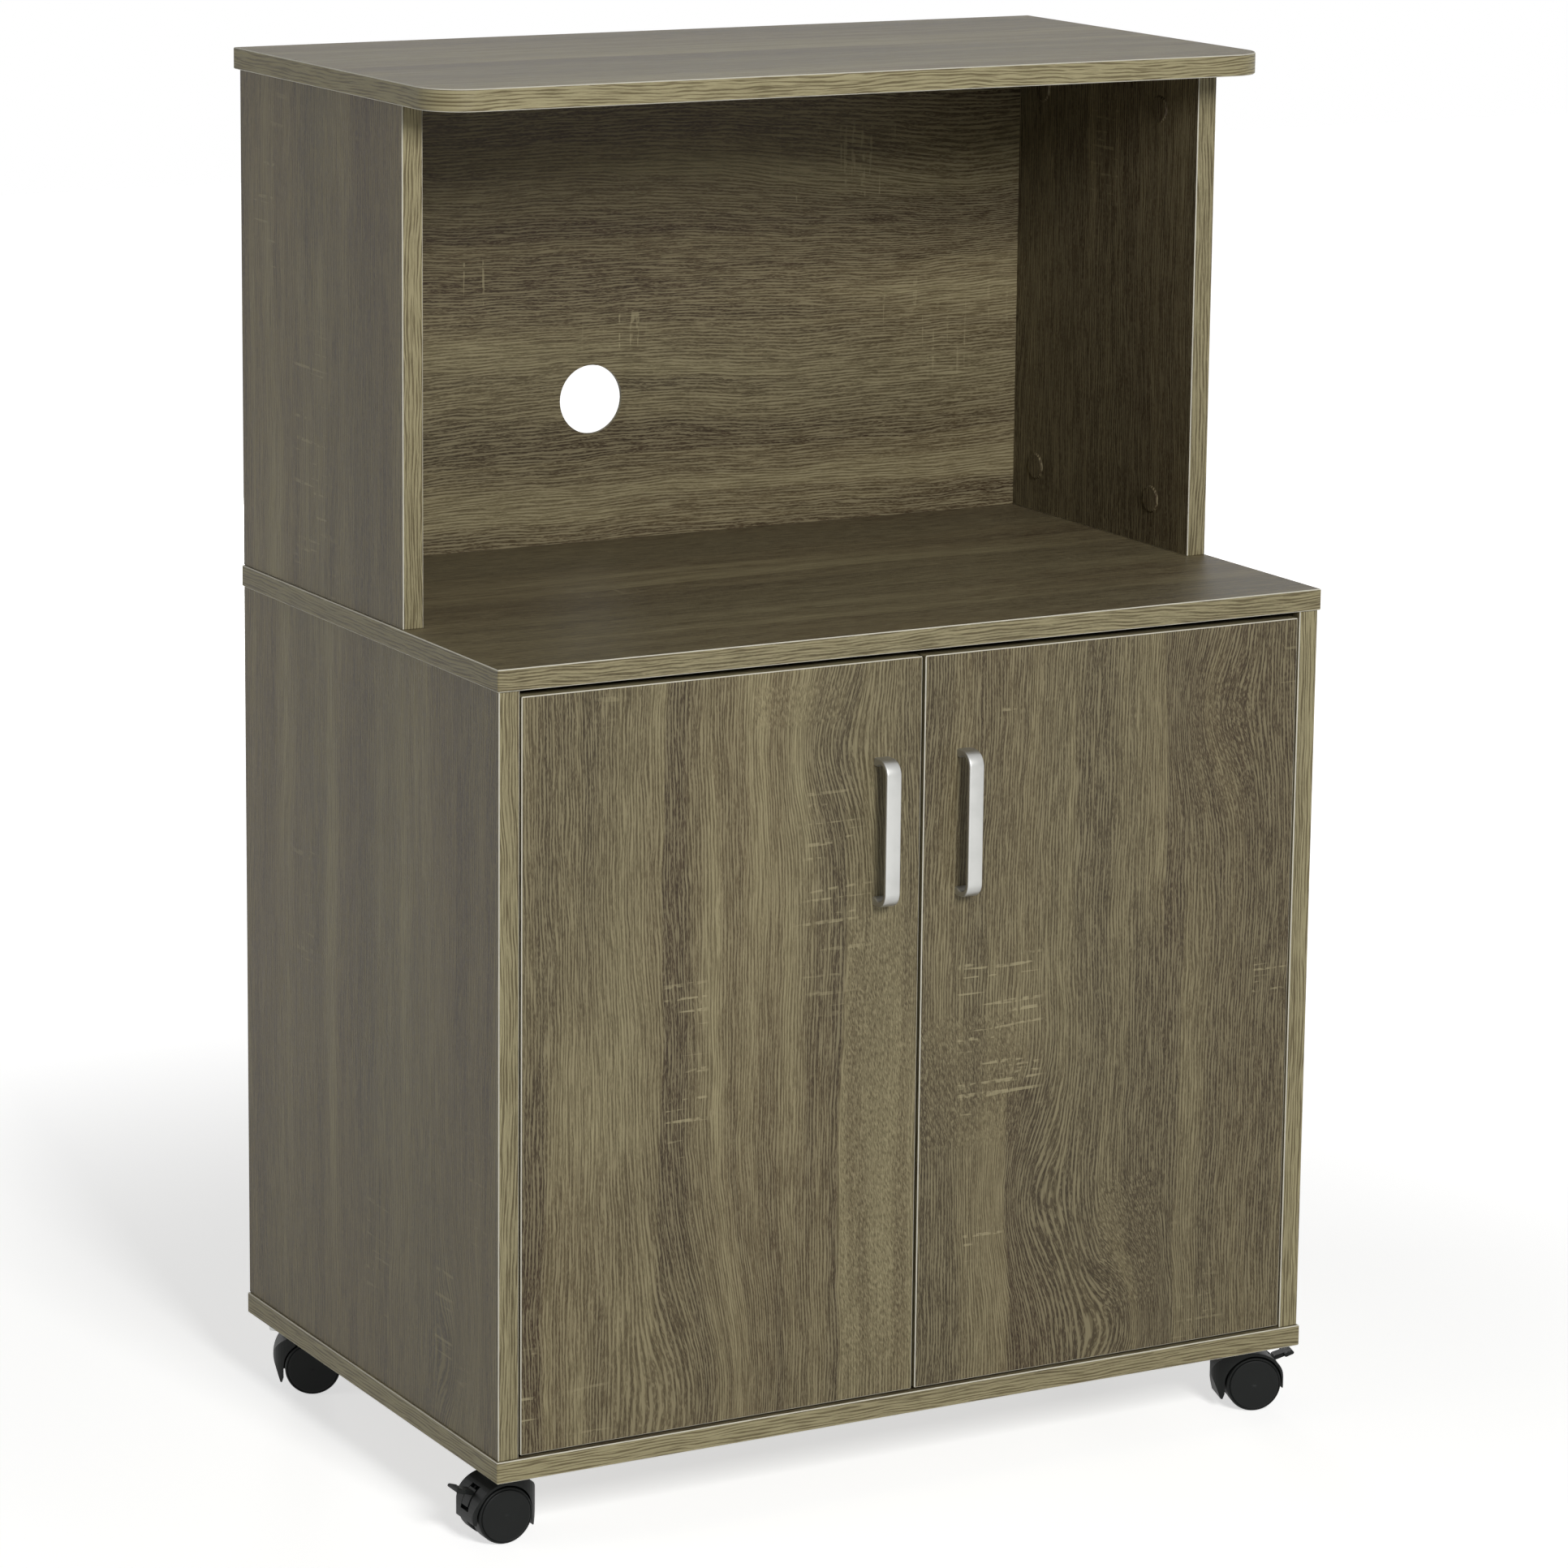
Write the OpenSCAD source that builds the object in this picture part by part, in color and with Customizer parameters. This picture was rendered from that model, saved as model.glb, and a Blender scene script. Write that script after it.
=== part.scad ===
// Microwave cart: melamine boards, two inset doors on concealed hinges, an open bay above the
// worktop, and four hooded twin-wheel casters. Lengths in mm, +Z up, the doors face -Y.
// The origin is on the floor, under the middle of the cart's outer box.

/* [Cabinet] */
// Width of the worktop and of the bottom panel
width = 640; // [600:5:720]
// Depth of the worktop and of the bottom panel
depth = 410; // [390:5:450]
// Height from the bottom panel's underside to the worktop's top
cabinet_height = 552; // [520:4:600]
// Height from the worktop's top to the top panel's top
bay_height = 366; // [340:2:400]
// Thickness of every board
board = 15; // [15:1:16]
// How far the sides stand in from the ends of the worktop
side_inset = 1.5; // [1:0.5:3]
// How far the sides and doors stand back from the worktop's front
front_inset = 1.5; // [1:0.5:3]
// Width of the small bevel on every board's edges
arris = 0.6; // [0.3:0.1:1]

/* [Open bay] */
// Depth of the two upper sides
bay_side_depth = 264; // [240:4:300]
// Depth of the top panel
top_depth = 326; // [310:2:350]
// How far the top panel reaches past each upper side
top_overhang = 4.5; // [2:0.5:8]
// Radius of the top panel's front corners
top_corner_r = 30; // [20:1:40]

/* [Back panels] */
// Thickness of the thin back panels
back_thickness = 3; // [3:0.5:4]
// Distance from the cart's rear to the back panels
back_inset = 20; // [14:1:26]
// Depth of the grooves that hold the back panels
groove_depth = 4; // [3:0.5:5]
// Play between a back panel and its groove, each side
groove_play = 0.1; // [0.05:0.05:0.2]
// Diameter of the cable hole
cable_hole_d = 50; // [40:1:60]
// Cable hole's place across the cart
cable_hole_x = -55; // [-90:1:90]
// Height of the cable hole's centre above the worktop
cable_hole_up = 104; // [80:2:130]

/* [Shelf] */
// Height of the shelf's underside above the bottom panel's top
shelf_up = 256; // [224:32:288]
// How far the shelf stands back from the doors
shelf_setback = 30; // [24:1:60]
// Play at each end of the shelf
shelf_play = 1; // [0.8:0.2:2]
// Spacing of the shelf pin holes
pin_pitch = 32; // [30:1:34]
// Diameter of a shelf pin
pin_d = 5; // [5:0.5:6]

/* [Doors] */
// Gap above the doors
door_gap_top = 4.5; // [3:0.5:6]
// Gap below the doors
door_gap_bottom = 2; // [1.5:0.5:3]
// Gap beside each door
door_gap_side = 1.5; // [1.2:0.1:2]
// Gap where the doors meet
door_gap_middle = 2.5; // [2:0.5:4]

/* [Handles] */
// Distance between a handle's two screws
handle_pitch = 96; // [96, 128]
// Width of the strap
handle_width = 10; // [9:1:12]
// Thickness of the strap's grip
handle_thick = 4; // [3.5:0.5:5]
// Thickness of the strap at its feet
handle_foot = 5.6; // [5.6:0.2:6.4]
// How far a handle stands out from the door
handle_reach = 18; // [16:1:24]
// Distance from the doors' meeting edge to the handle's middle
handle_edge = 31; // [26:1:40]
// Distance from the door's top to the handle's middle
handle_down = 117; // [100:1:160]

/* [Hinges] */
// Distance from a door's end to the nearer hinge's middle
hinge_end = 72; // [66:1:90]
// Diameter of a hinge cup
cup_d = 35; // [35:1:36]
// Depth of a hinge cup
cup_depth = 11.5; // [11:0.5:12]
// Wood left between the cup and the door's edge
cup_edge = 4; // [3.5:0.5:5]

/* [Casters] */
// Height of a caster under the bottom panel
caster_height = 52; // [51:1:56]
// Diameter of a wheel
wheel_d = 40; // [38:1:40]
// Width of one wheel
wheel_width = 13; // [11:1:14]
// Distance from the swivel axis to the axle
caster_trail = 12; // [11:0.5:13]
// Distance from the panel's ends to a front caster's swivel axis
caster_side_front = 30; // [28:1:60]
// Distance from the panel's ends to a rear caster's swivel axis
caster_side_rear = 24; // [22:1:60]
// Distance from the panel's front to the front casters' swivel axes
caster_front = 40; // [34:1:60]
// Distance from the panel's rear to the rear casters' swivel axes
caster_rear = 30; // [28:1:60]
// Side of the square mounting plate
plate_side = 38; // [36:1:40]
// Distance from the swivel axis to the brake lever's tip
lever_reach = 44; // [43:0.5:48]
// Width of the brake lever's paddle
lever_width = 14; // [12:1:16]

/* [Hidden] */
// Running gap between moving faces, and the radial play of a pin in its bore
gap = 0.3;
pin_play = 0.05;

// Heights
panel_z = caster_height;
cabinet_top = panel_z + cabinet_height;
worktop_z = cabinet_top - board;
total_height = cabinet_top + bay_height;
top_z = total_height - board;
lower_z = panel_z + board;

// Places across and along the cart, from the middle of the worktop
side_out = width / 2 - side_inset;
side_in = side_out - board;
front_y = -depth / 2;
rear_y = depth / 2;
door_y = front_y + front_inset;
bay_y = rear_y - bay_side_depth;
top_y = rear_y - top_depth;
back_y = rear_y - back_inset - back_thickness;
clear_width = 2 * side_in;

// The outer box: handles in front, boards at the rear
box_middle_y = (rear_y + door_y - handle_reach) / 2;

// Doors
door_z = lower_z + door_gap_bottom;
door_top = worktop_z - door_gap_top;
door_out = side_in - door_gap_side;
door_in = door_gap_middle / 2;
handle_x = door_in + handle_edge;
handle_z = door_top - handle_down;
handle_corner = 10;
handle_bevel = 0.9;
handle_ends = [-1, 1] * handle_pitch / 2;
screw_r = 2;
screw_play = 0.2;
screw_head_r = 4;
screw_head = 2.4;
screw_bite = 6;

// Hinges, seen from above in a corner whose zero is the side's inner face and the door's front
hinge_zs = [door_z + hinge_end, door_top - hinge_end];
cup_r = cup_d / 2;
cup_x = door_gap_side + cup_edge + cup_r;
cup_wall = 1.2;
flange = 1.2;
flange_r = cup_r + 1.5;
ear_z = 22.5;
ear_r = 5.5;
cup_floor = board - cup_depth + cup_wall;
nose_play = 0.7;
nose_length = 2.2;
pivot = [cup_x - 2.8, cup_floor + nose_play + nose_length];
pivot_r = 1.5;
link_mid = [12, 7];
link_tip = [16.6, 0];
link_root_r = 2.3;
link_r = 1.6;
link_turn = 12;
link_half = 4;
arm_half = 7;
arm_back = 72;
arm_top = 12.5;
base_y = [40, 66];
crank_start = base_y[0] - 2;
crank_end = base_y[0] + 4;
// The arm's crank, measured from its pivot: the side that faces the plate, then the far side
crank_near = [[-10.8, 18.4], [-4.3, 9.9], [-2.4, 2.9], [-1.4, -nose_length]];
crank_far = [[2.8, -nose_length], [4.2, 0.9], [3, 11.4], [-2.8, 23.4]];
fork_in = 3.8;
fork_back = 11.4;
channel = 7.5;
channel_wall = 1.5;
plate_block = 7;
base_half = 24;
base_thick = 2.5;
base_screw_z = 16;

// Casters
wheel_r = wheel_d / 2;
axle_r = 3;
web_half = 4.5;
wheel_in = web_half + 0.5;
wheel_out = wheel_in + wheel_width;
plate_thick = 2.5;
plate_z = caster_height - plate_thick;
plate_hole = plate_side / 2 - 5.5;
thrust = 2;
thrust_z = plate_z - thrust;
thrust_r = 9;
stem_r = 4;
stem_length = 9;
hood_top = thrust_z - gap;
hood_inner = wheel_r + 1;
hood_outer = wheel_r + 3;
hood_half = wheel_out - 0.8;
hood_nose = caster_trail + 16;
hood_nose_r = hood_nose - 10.3;
hood_nose_up = 6;
hood_skirt = 4;
apron_tip = [-hood_outer, 9 - wheel_r];
boss_r = thrust_r + 1;
boss_z = wheel_r + hood_inner;
axle_half = wheel_out - 3;
lever_pin = [12.5, 11];
lever_pin_r = 1.5;
neck_r = 3.2;
lever_half = 2.5;
lever_tip = lever_reach - caster_trail;
// The lever's back lies in a channel of the hood; angles are up from the axle
lever_back = [wheel_r + 0.8, hood_outer + 0.4];
lever_back_angles = [14, 46];
lever_back_half = web_half - 0.1;
channel_half = lever_back_half + 1.2;
channel_angles = [6, 54];
channel_floor = wheel_r - 2;
horn_root = [lever_back[1] + 1.2, 38];
horn_bend = [hood_outer + 3.2, 17.4];
horn_rise = 1.6;
horn_r = [1.6, 1.4, 1.2];
lever_turn = 2 * atan(lever_width / 2 / lever_reach);
front_x = width / 2 - caster_side_front;
rear_x = width / 2 - caster_side_rear;
// One caster: place across and along, the way its lever side points at rest, and the brake
casters = [
    [-front_x, front_y + caster_front, 180, true],
    [front_x, front_y + caster_front, -lever_turn, true],
    [-rear_x, rear_y - caster_rear, -22, false],
    [rear_x, rear_y - caster_rear, 165, false]
];

// Fittings that join the boards
cam_from_end = 34;
cam_r = 7.5;
cam_length = 12;
cam_play = 0.1;
cam_front = 50;
cam_rear_upper = 55;
cam_rear_lower = 45;
bolt_r = 3;
bolt_bite = 11;
cap_r = 10;
cap_thick = 1.2;
upper_cam_ys = [bay_y + cam_front, rear_y - cam_rear_upper];
lower_cam_ys = [door_y + cam_front, rear_y - cam_rear_lower];
// One joint: place along the cart, board's end, and the way out of that end (1 is up)
upper_joints = [for (y = upper_cam_ys) for (e = [[cabinet_top, -1], [top_z, 1]]) concat(y, e)];
lower_joints = [for (y = lower_cam_ys) for (e = [[lower_z, -1], [worktop_z, 1]]) concat(y, e)];

// Shelf
shelf_z = lower_z + shelf_up;
shelf_y = door_y + board + shelf_setback;
shelf_depth = back_y - gap - shelf_y;
shelf_pin_end = 40;
shelf_pin_ys = [shelf_y + shelf_pin_end, shelf_y + shelf_depth - shelf_pin_end];
pin_in = 8;
pin_out = 9;
ledge = [10, 2];

wood = [0.45, 0.40, 0.31];
metal = [0.72, 0.72, 0.70];
plastic = [0.10, 0.10, 0.10];

// ---- helpers ----

// Moves the cart so that the origin is under the middle of its outer box
module in_place() {
    translate([0, -box_middle_y, 0]) children();
}

// Right-hand pieces are drawn at +X; the left ones are their mirror image
module on_side(side) {
    in_place() mirror([side == "left" ? 1 : 0, 0, 0]) children();
}

// A board from corner to corner, with a small bevel along every edge
module plank(low, high) {
    size = high - low;
    hull() for (k = [0:2]) {
        inset = [for (i = [0:2]) i == k ? 0 : arris];
        translate(low + inset) cube(size - 2 * inset);
    }
}

// A cylinder along X or Y instead of Z
module rod_x(r, h, fn = 16) {
    rotate([0, 90, 0]) cylinder(r = r, h = h, $fn = fn);
}

module rod_y(r, h, fn = 16) {
    rotate([-90, 0, 0]) cylinder(r = r, h = h, $fn = fn);
}

// The groove for a back panel, cut into a side's inner face
module side_groove(low, high) {
    translate([side_in - 1, back_y - groove_play, low])
        cube([groove_depth + 1, back_thickness + 2 * groove_play, high - low]);
}

// The same groove, cut across a horizontal board from height low to height high
module cross_groove(low, high) {
    reach = side_in + groove_depth;
    translate([-reach, back_y - groove_play, low])
        cube([2 * reach, back_thickness + 2 * groove_play, high - low]);
}

// Pockets for the cams and bores for their bolts, in a right-hand side
module cam_pockets(joints) {
    for (j = joints) translate([side_in, j[0], j[1] - j[2] * cam_from_end]) {
        translate([-1, 0, 0]) rod_x(cam_r + cam_play, cam_length + cam_play + 1, 20);
        translate([board / 2, 0, 0]) mirror([0, 0, j[2] < 0 ? 1 : 0])
            cylinder(r = bolt_r + cam_play, h = cam_from_end + 1, $fn = 16);
    }
}

// Places children at every joint of both right-hand sides, and at their mirror images
module at_joints() {
    for (m = [0, 1]) mirror([m, 0, 0]) for (j = concat(upper_joints, lower_joints))
        translate([side_in, j[0], j[1]]) mirror([0, 0, j[2] < 0 ? 1 : 0]) children();
}

// ---- boards ----

// Outline of the top panel, with round front corners
module top_outline(inset) {
    half = side_out + top_overhang;
    offset(delta = -inset) union() {
        translate([-half, top_y + top_corner_r]) square([2 * half, top_depth - top_corner_r]);
        translate([-half + top_corner_r, top_y]) square([2 * (half - top_corner_r), top_depth]);
        for (s = [-1, 1]) translate([s * (half - top_corner_r), top_y + top_corner_r])
            circle(r = top_corner_r, $fn = 64);
    }
}

module top_panel() {
    color(wood) in_place() difference() {
        hull() {
            translate([0, 0, top_z]) linear_extrude(board) top_outline(arris);
            translate([0, 0, top_z + arris]) linear_extrude(board - 2 * arris) top_outline(0);
        }
        cross_groove(top_z - 1, top_z + groove_depth);
    }
}

module upper_side(side) {
    color(wood) on_side(side) difference() {
        plank([side_in, bay_y, cabinet_top], [side_out, rear_y, top_z]);
        side_groove(cabinet_top - 1, top_z + 1);
        cam_pockets(upper_joints);
    }
}

module upper_side_left() { upper_side("left"); }
module upper_side_right() { upper_side("right"); }

// A thin back panel that reaches into the grooves on all four sides
module back_panel(low, high) {
    reach = groove_depth - groove_play;
    translate([-side_in - reach, back_y, low - reach])
        cube([clear_width + 2 * reach, back_thickness, high - low + 2 * reach]);
}

module upper_back_panel() {
    color(wood) in_place() difference() {
        back_panel(cabinet_top, top_z);
        translate([cable_hole_x, back_y - 1, cabinet_top + cable_hole_up])
            rod_y(cable_hole_d / 2, back_thickness + 2, 64);
    }
}

module worktop() {
    color(wood) in_place() difference() {
        plank([-width / 2, front_y, worktop_z], [width / 2, rear_y, cabinet_top]);
        cross_groove(cabinet_top - groove_depth, cabinet_top + 1);
        cross_groove(worktop_z - 1, worktop_z + groove_depth);
    }
}

module lower_side(side) {
    color(wood) on_side(side) difference() {
        plank([side_in, door_y, lower_z], [side_out, rear_y, worktop_z]);
        side_groove(lower_z - 1, worktop_z + 1);
        cam_pockets(lower_joints);
        for (y = shelf_pin_ys) for (k = [-1:1])
            translate([side_in - 1, y, shelf_z - pin_d / 2 + k * pin_pitch])
                rod_x(pin_d / 2 + pin_play, pin_in + 1.2);
    }
}

module lower_side_left() { lower_side("left"); }
module lower_side_right() { lower_side("right"); }

module lower_back_panel() {
    color(wood) in_place() back_panel(lower_z, worktop_z);
}

module bottom_panel() {
    color(wood) in_place() difference() {
        plank([-width / 2, front_y, panel_z], [width / 2, rear_y, lower_z]);
        cross_groove(lower_z - groove_depth, lower_z + 1);
    }
}

module shelf() {
    color(wood) in_place()
        plank([-side_in + shelf_play, shelf_y, shelf_z],
              [side_in - shelf_play, shelf_y + shelf_depth, shelf_z + board]);
}

// Pins with a flat ledge on top, on which the shelf lies
module shelf_pins() {
    color(metal) in_place() for (m = [0, 1]) mirror([m, 0, 0]) for (y = shelf_pin_ys)
        translate([side_in, y, shelf_z - pin_d / 2]) {
            translate([-pin_out, 0, 0]) rod_x(pin_d / 2, pin_in + pin_out);
            translate([-pin_out, -ledge[0] / 2, pin_d / 2 - ledge[1]])
                cube([pin_out - gap, ledge[0], ledge[1]]);
        }
}

// ---- fittings that join the boards ----

module cam_locks() {
    color(metal) in_place() at_joints()
        translate([0, 0, -cam_from_end]) rod_x(cam_r, cam_length);
}

module cam_bolts() {
    color(metal) in_place() at_joints()
        translate([board / 2, 0, -cam_from_end + cam_r + cam_play])
            cylinder(r = bolt_r, h = cam_from_end - cam_r - cam_play + bolt_bite, $fn = 16);
}

module cam_caps() {
    color(wood) in_place() at_joints()
        translate([0, 0, -cam_from_end]) rotate([0, -90, 0])
            cylinder(r1 = cap_r, r2 = cap_r - cap_thick, h = cap_thick, $fn = 24);
}

// ---- doors ----

// Places children at each hinge of a right-hand door, in the hinge's own corner: +X points from
// the side's inner face towards the cart's middle, and +Y from the door's front to the rear
module at_hinges() {
    for (z = hinge_zs) translate([side_in, door_y, z]) mirror([1, 0, 0]) children();
}

// Places children at both screws of a right-hand handle
module at_handle_screws() {
    for (z = handle_ends) translate([handle_x, door_y, handle_z + z]) children();
}

module door(side) {
    color(wood) on_side(side) difference() {
        plank([door_in, door_y, door_z], [door_out, door_y + board, door_top]);
        at_hinges() translate([cup_x, board - cup_depth, 0]) rod_y(cup_r + gap / 3, board, 40);
        at_handle_screws() translate([0, -1, 0]) rod_y(screw_r + screw_play, board + 2);
    }
}

module door_left() { door("left"); }
module door_right() { door("right"); }

// The strap's centre line, seen from the side: feet on the door, round corners, straight grip.
// Each station is [distance from the door, height, direction of the outer face, thickness]
function bow_half() = let (
    half = handle_pitch / 2,
    r = handle_corner - handle_thick / 2,
    out = handle_reach - handle_thick / 2,
    top = half + (handle_foot - handle_thick) / 2)
    concat([[0, half, 90, handle_foot], [out - r, top, 90, handle_thick]],
           [for (a = [72:-18:0]) [out - r + r * cos(a), top - r + r * sin(a), a, handle_thick]]);
function bow() = let (h = bow_half(), n = len(h))
    concat(h, [for (i = [n - 1:-1:0]) [h[i][0], -h[i][1], -h[i][2], h[i][3]]]);

// The strap's section at one station: a bevelled rectangle across the strap
function bow_ring(s) = let (
    w = handle_width / 2, t = s[3] / 2, b = handle_bevel,
    section = [[-w, b - t], [-w, t - b], [b - w, t], [w - b, t],
               [w, t - b], [w, b - t], [w - b, -t], [b - w, -t]])
    [for (p = section) [p[0], -s[0] - p[1] * cos(s[2]), s[1] + p[1] * sin(s[2])]];

// A closed skin over rings of equal length
module skin(rings) {
    n = len(rings[0]);
    last = (len(rings) - 1) * n;
    sides = [for (i = [0:len(rings) - 2]) for (k = [0:n - 1]) let (
        a = i * n + k, b = i * n + (k + 1) % n) each [[a, b, b + n], [a, b + n, a + n]]];
    ends = [[for (k = [n - 1:-1:0]) k], [for (k = [0:n - 1]) last + k]];
    polyhedron(points = [for (r = rings) each r], faces = concat(sides, ends));
}

module handle(side) {
    color(metal) on_side(side) translate([handle_x, door_y, handle_z]) difference() {
        skin([for (s = bow()) bow_ring(s)]);
        for (z = handle_ends) translate([0, -screw_bite - 1, z]) rod_y(screw_r, screw_bite + 2);
    }
}

module handle_left() { handle("left"); }
module handle_right() { handle("right"); }

module handle_screws(side) {
    color(metal) on_side(side) at_handle_screws() {
        translate([0, -screw_bite, 0]) rod_y(screw_r, screw_bite + board + 1);
        translate([0, board, 0]) rotate([-90, 0, 0])
            cylinder(r1 = screw_head_r, r2 = screw_head_r - 1, h = screw_head, $fn = 20);
    }
}

module handle_screws_left() { handle_screws("left"); }
module handle_screws_right() { handle_screws("right"); }

// ---- concealed hinges ----

module hinge_cups(side) {
    color(metal) on_side(side) at_hinges() translate([cup_x, 0, 0]) difference() {
        union() {
            translate([0, board - cup_depth, 0]) rod_y(cup_r, cup_depth, 40);
            translate([0, board, 0]) rotate([-90, 0, 0]) linear_extrude(flange) {
                circle(r = flange_r, $fn = 40);
                hull() for (z = [-ear_z, ear_z]) translate([0, z]) circle(r = ear_r, $fn = 20);
            }
            for (z = [-ear_z, ear_z]) translate([0, board + flange, z]) rotate([-90, 0, 0])
                cylinder(r1 = screw_head_r - 0.5, r2 = screw_head_r - 1.5, h = 1.2, $fn = 16);
        }
        translate([0, board - cup_depth + cup_wall, 0]) rod_y(cup_r - cup_wall, board, 40);
    }
}

module hinge_cups_left() { hinge_cups("left"); }
module hinge_cups_right() { hinge_cups("right"); }

// The cranked arm, seen from above: along the plate, out past the door's edge, into the cup
module arm_outline() {
    polygon(concat(
        [[base_thick, arm_back], [base_thick, crank_start]],
        [for (p = crank_near) pivot + p],
        [for (p = crank_far) pivot + p],
        [[arm_top, crank_end], [arm_top, arm_back]]
    ));
}

// An outline drawn in the hinge's corner, made solid over a height either side of its middle
module hinge_slab(half) {
    translate([0, 0, -half]) linear_extrude(2 * half) children();
}

module hinge_arms(side) {
    color(metal) on_side(side) at_hinges() difference() {
        hinge_slab(arm_half) arm_outline();
        // the fork in which the link turns
        hinge_slab(link_half + gap) translate(pivot - [fork_in, pivot[1]])
            square([2 * cup_r, pivot[1] + fork_back]);
        // the channel is open towards the plate
        hinge_slab(arm_half - channel_wall) translate([0, crank_start])
            square([base_thick + channel, arm_back]);
        translate([pivot[0], pivot[1], -arm_half - 1])
            cylinder(r = pivot_r + pin_play, h = 2 * arm_half + 2, $fn = 16);
    }
}

module hinge_arms_left() { hinge_arms("left"); }
module hinge_arms_right() { hinge_arms("right"); }

// The winged plate on the side's inner face, with its two screws and the block under the arm
module hinge_plates(side) {
    color(metal) on_side(side) at_hinges() {
        translate([0, base_y[0], -base_half]) cube([base_thick, base_y[1] - base_y[0], 2 * base_half]);
        translate([base_thick / 2, base_y[0] + 2, -arm_half + channel_wall + gap])
            cube([plate_block, base_y[1] - base_y[0] - 4, 2 * (arm_half - channel_wall - gap)]);
        for (z = [-base_screw_z, base_screw_z])
            translate([base_thick - 0.5, (base_y[0] + base_y[1]) / 2, z]) rotate([0, 90, 0])
                cylinder(r1 = screw_head_r, r2 = screw_head_r - 1.2, h = 2, $fn = 16);
    }
}

module hinge_plates_left() { hinge_plates("left"); }
module hinge_plates_right() { hinge_plates("right"); }

// The cranked link between the arm's pivot and the cup
module hinge_links(side) {
    color(metal) on_side(side) at_hinges() translate(pivot) rotate(link_turn) difference() {
        hinge_slab(link_half) {
            hull() {
                circle(r = link_root_r, $fn = 20);
                translate(link_mid) circle(r = link_r, $fn = 12);
            }
            hull() {
                translate(link_mid) circle(r = link_r, $fn = 12);
                translate(link_tip) circle(r = link_r, $fn = 12);
            }
        }
        translate([0, 0, -link_half - 1])
            cylinder(r = pivot_r + pin_play, h = 2 * link_half + 2, $fn = 16);
    }
}

module hinge_links_left() { hinge_links("left"); }
module hinge_links_right() { hinge_links("right"); }

module hinge_pins(side) {
    color(metal) on_side(side) at_hinges()
        translate([pivot[0], pivot[1], -arm_half]) cylinder(r = pivot_r, h = 2 * arm_half, $fn = 16);
}

module hinge_pins_left() { hinge_pins("left"); }
module hinge_pins_right() { hinge_pins("right"); }

// ---- casters: +X of a caster is its lever side, +Y runs along its axle ----

module at_caster(k) {
    c = casters[k];
    in_place() translate([c[0], c[1], 0]) rotate(c[2]) children();
}

// An outline drawn about the axle in the caster's middle plane, made solid across the caster
module caster_slab(half) {
    translate([caster_trail, half, wheel_r]) rotate([90, 0, 0]) linear_extrude(2 * half) children();
}

module caster_plate(k) {
    color(metal) at_caster(k) {
        translate([0, 0, plate_z]) linear_extrude(plate_thick) offset(r = 4, $fn = 16)
            square(plate_side - 8, center = true);
        translate([0, 0, thrust_z]) cylinder(r = thrust_r, h = thrust + 1, $fn = 24);
        translate([0, 0, thrust_z - stem_length]) cylinder(r = stem_r, h = stem_length + 1, $fn = 24);
    }
}

module caster_plate_front_left() { caster_plate(0); }
module caster_plate_front_right() { caster_plate(1); }
module caster_plate_rear_left() { caster_plate(2); }
module caster_plate_rear_right() { caster_plate(3); }

// Wood screws through the plates' corners
module caster_screws() {
    color(metal) for (k = [0:3]) at_caster(k)
        for (x = [-plate_hole, plate_hole]) for (y = [-plate_hole, plate_hole])
            translate([x, y, plate_z - 1.4]) {
                cylinder(r1 = 2.6, r2 = 3.6, h = 1.4, $fn = 14);
                cylinder(r = 1.75, h = plate_thick + 11.4, $fn = 14);
            }
}

// A point at a distance from the axle, at an angle up from the lever side
function turned(far, angle) = far * [cos(angle), sin(angle)];

// A piece of a ring about the axle, in side view
module ring_piece(near, far, angles) {
    steps = 6;
    ways = [for (k = [0:steps]) angles[0] + (angles[1] - angles[0]) * k / steps];
    polygon(concat(
        [for (k = [0:steps]) turned(near, ways[k])],
        [for (k = [steps:-1:0]) turned(far, ways[k])]
    ));
}

// Side view of the hood: round over the wheels, a nose for the swivel with a pointed apron
module hood_outline() {
    top = hood_top - wheel_r;
    intersection() {
        hull() {
            circle(r = hood_outer, $fn = 48);
            translate([hood_nose_r - hood_nose, hood_nose_up]) circle(r = hood_nose_r, $fn = 48);
            translate(apron_tip) circle(r = 0.5, $fn = 12);
        }
        polygon([
            [-hood_nose - 1, top], [hood_outer + 1, top], [hood_outer + 1, -hood_skirt - 1],
            [hood_inner - 1, -hood_skirt], [-hood_inner + 1, -hood_skirt], apron_tip + [0.8, -0.5],
            [-hood_nose - 1, apron_tip[1] - 0.5]
        ]);
    }
}

// Plan of the hood about the axle: a round nose, softer corners at the lever side
module hood_plan() {
    hull() {
        translate([hood_half - hood_nose, 0]) circle(r = hood_half, $fn = 40);
        for (y = [-1, 1]) translate([hood_outer - 6, y * (hood_half - 6)]) circle(r = 6, $fn = 20);
    }
}

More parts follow.
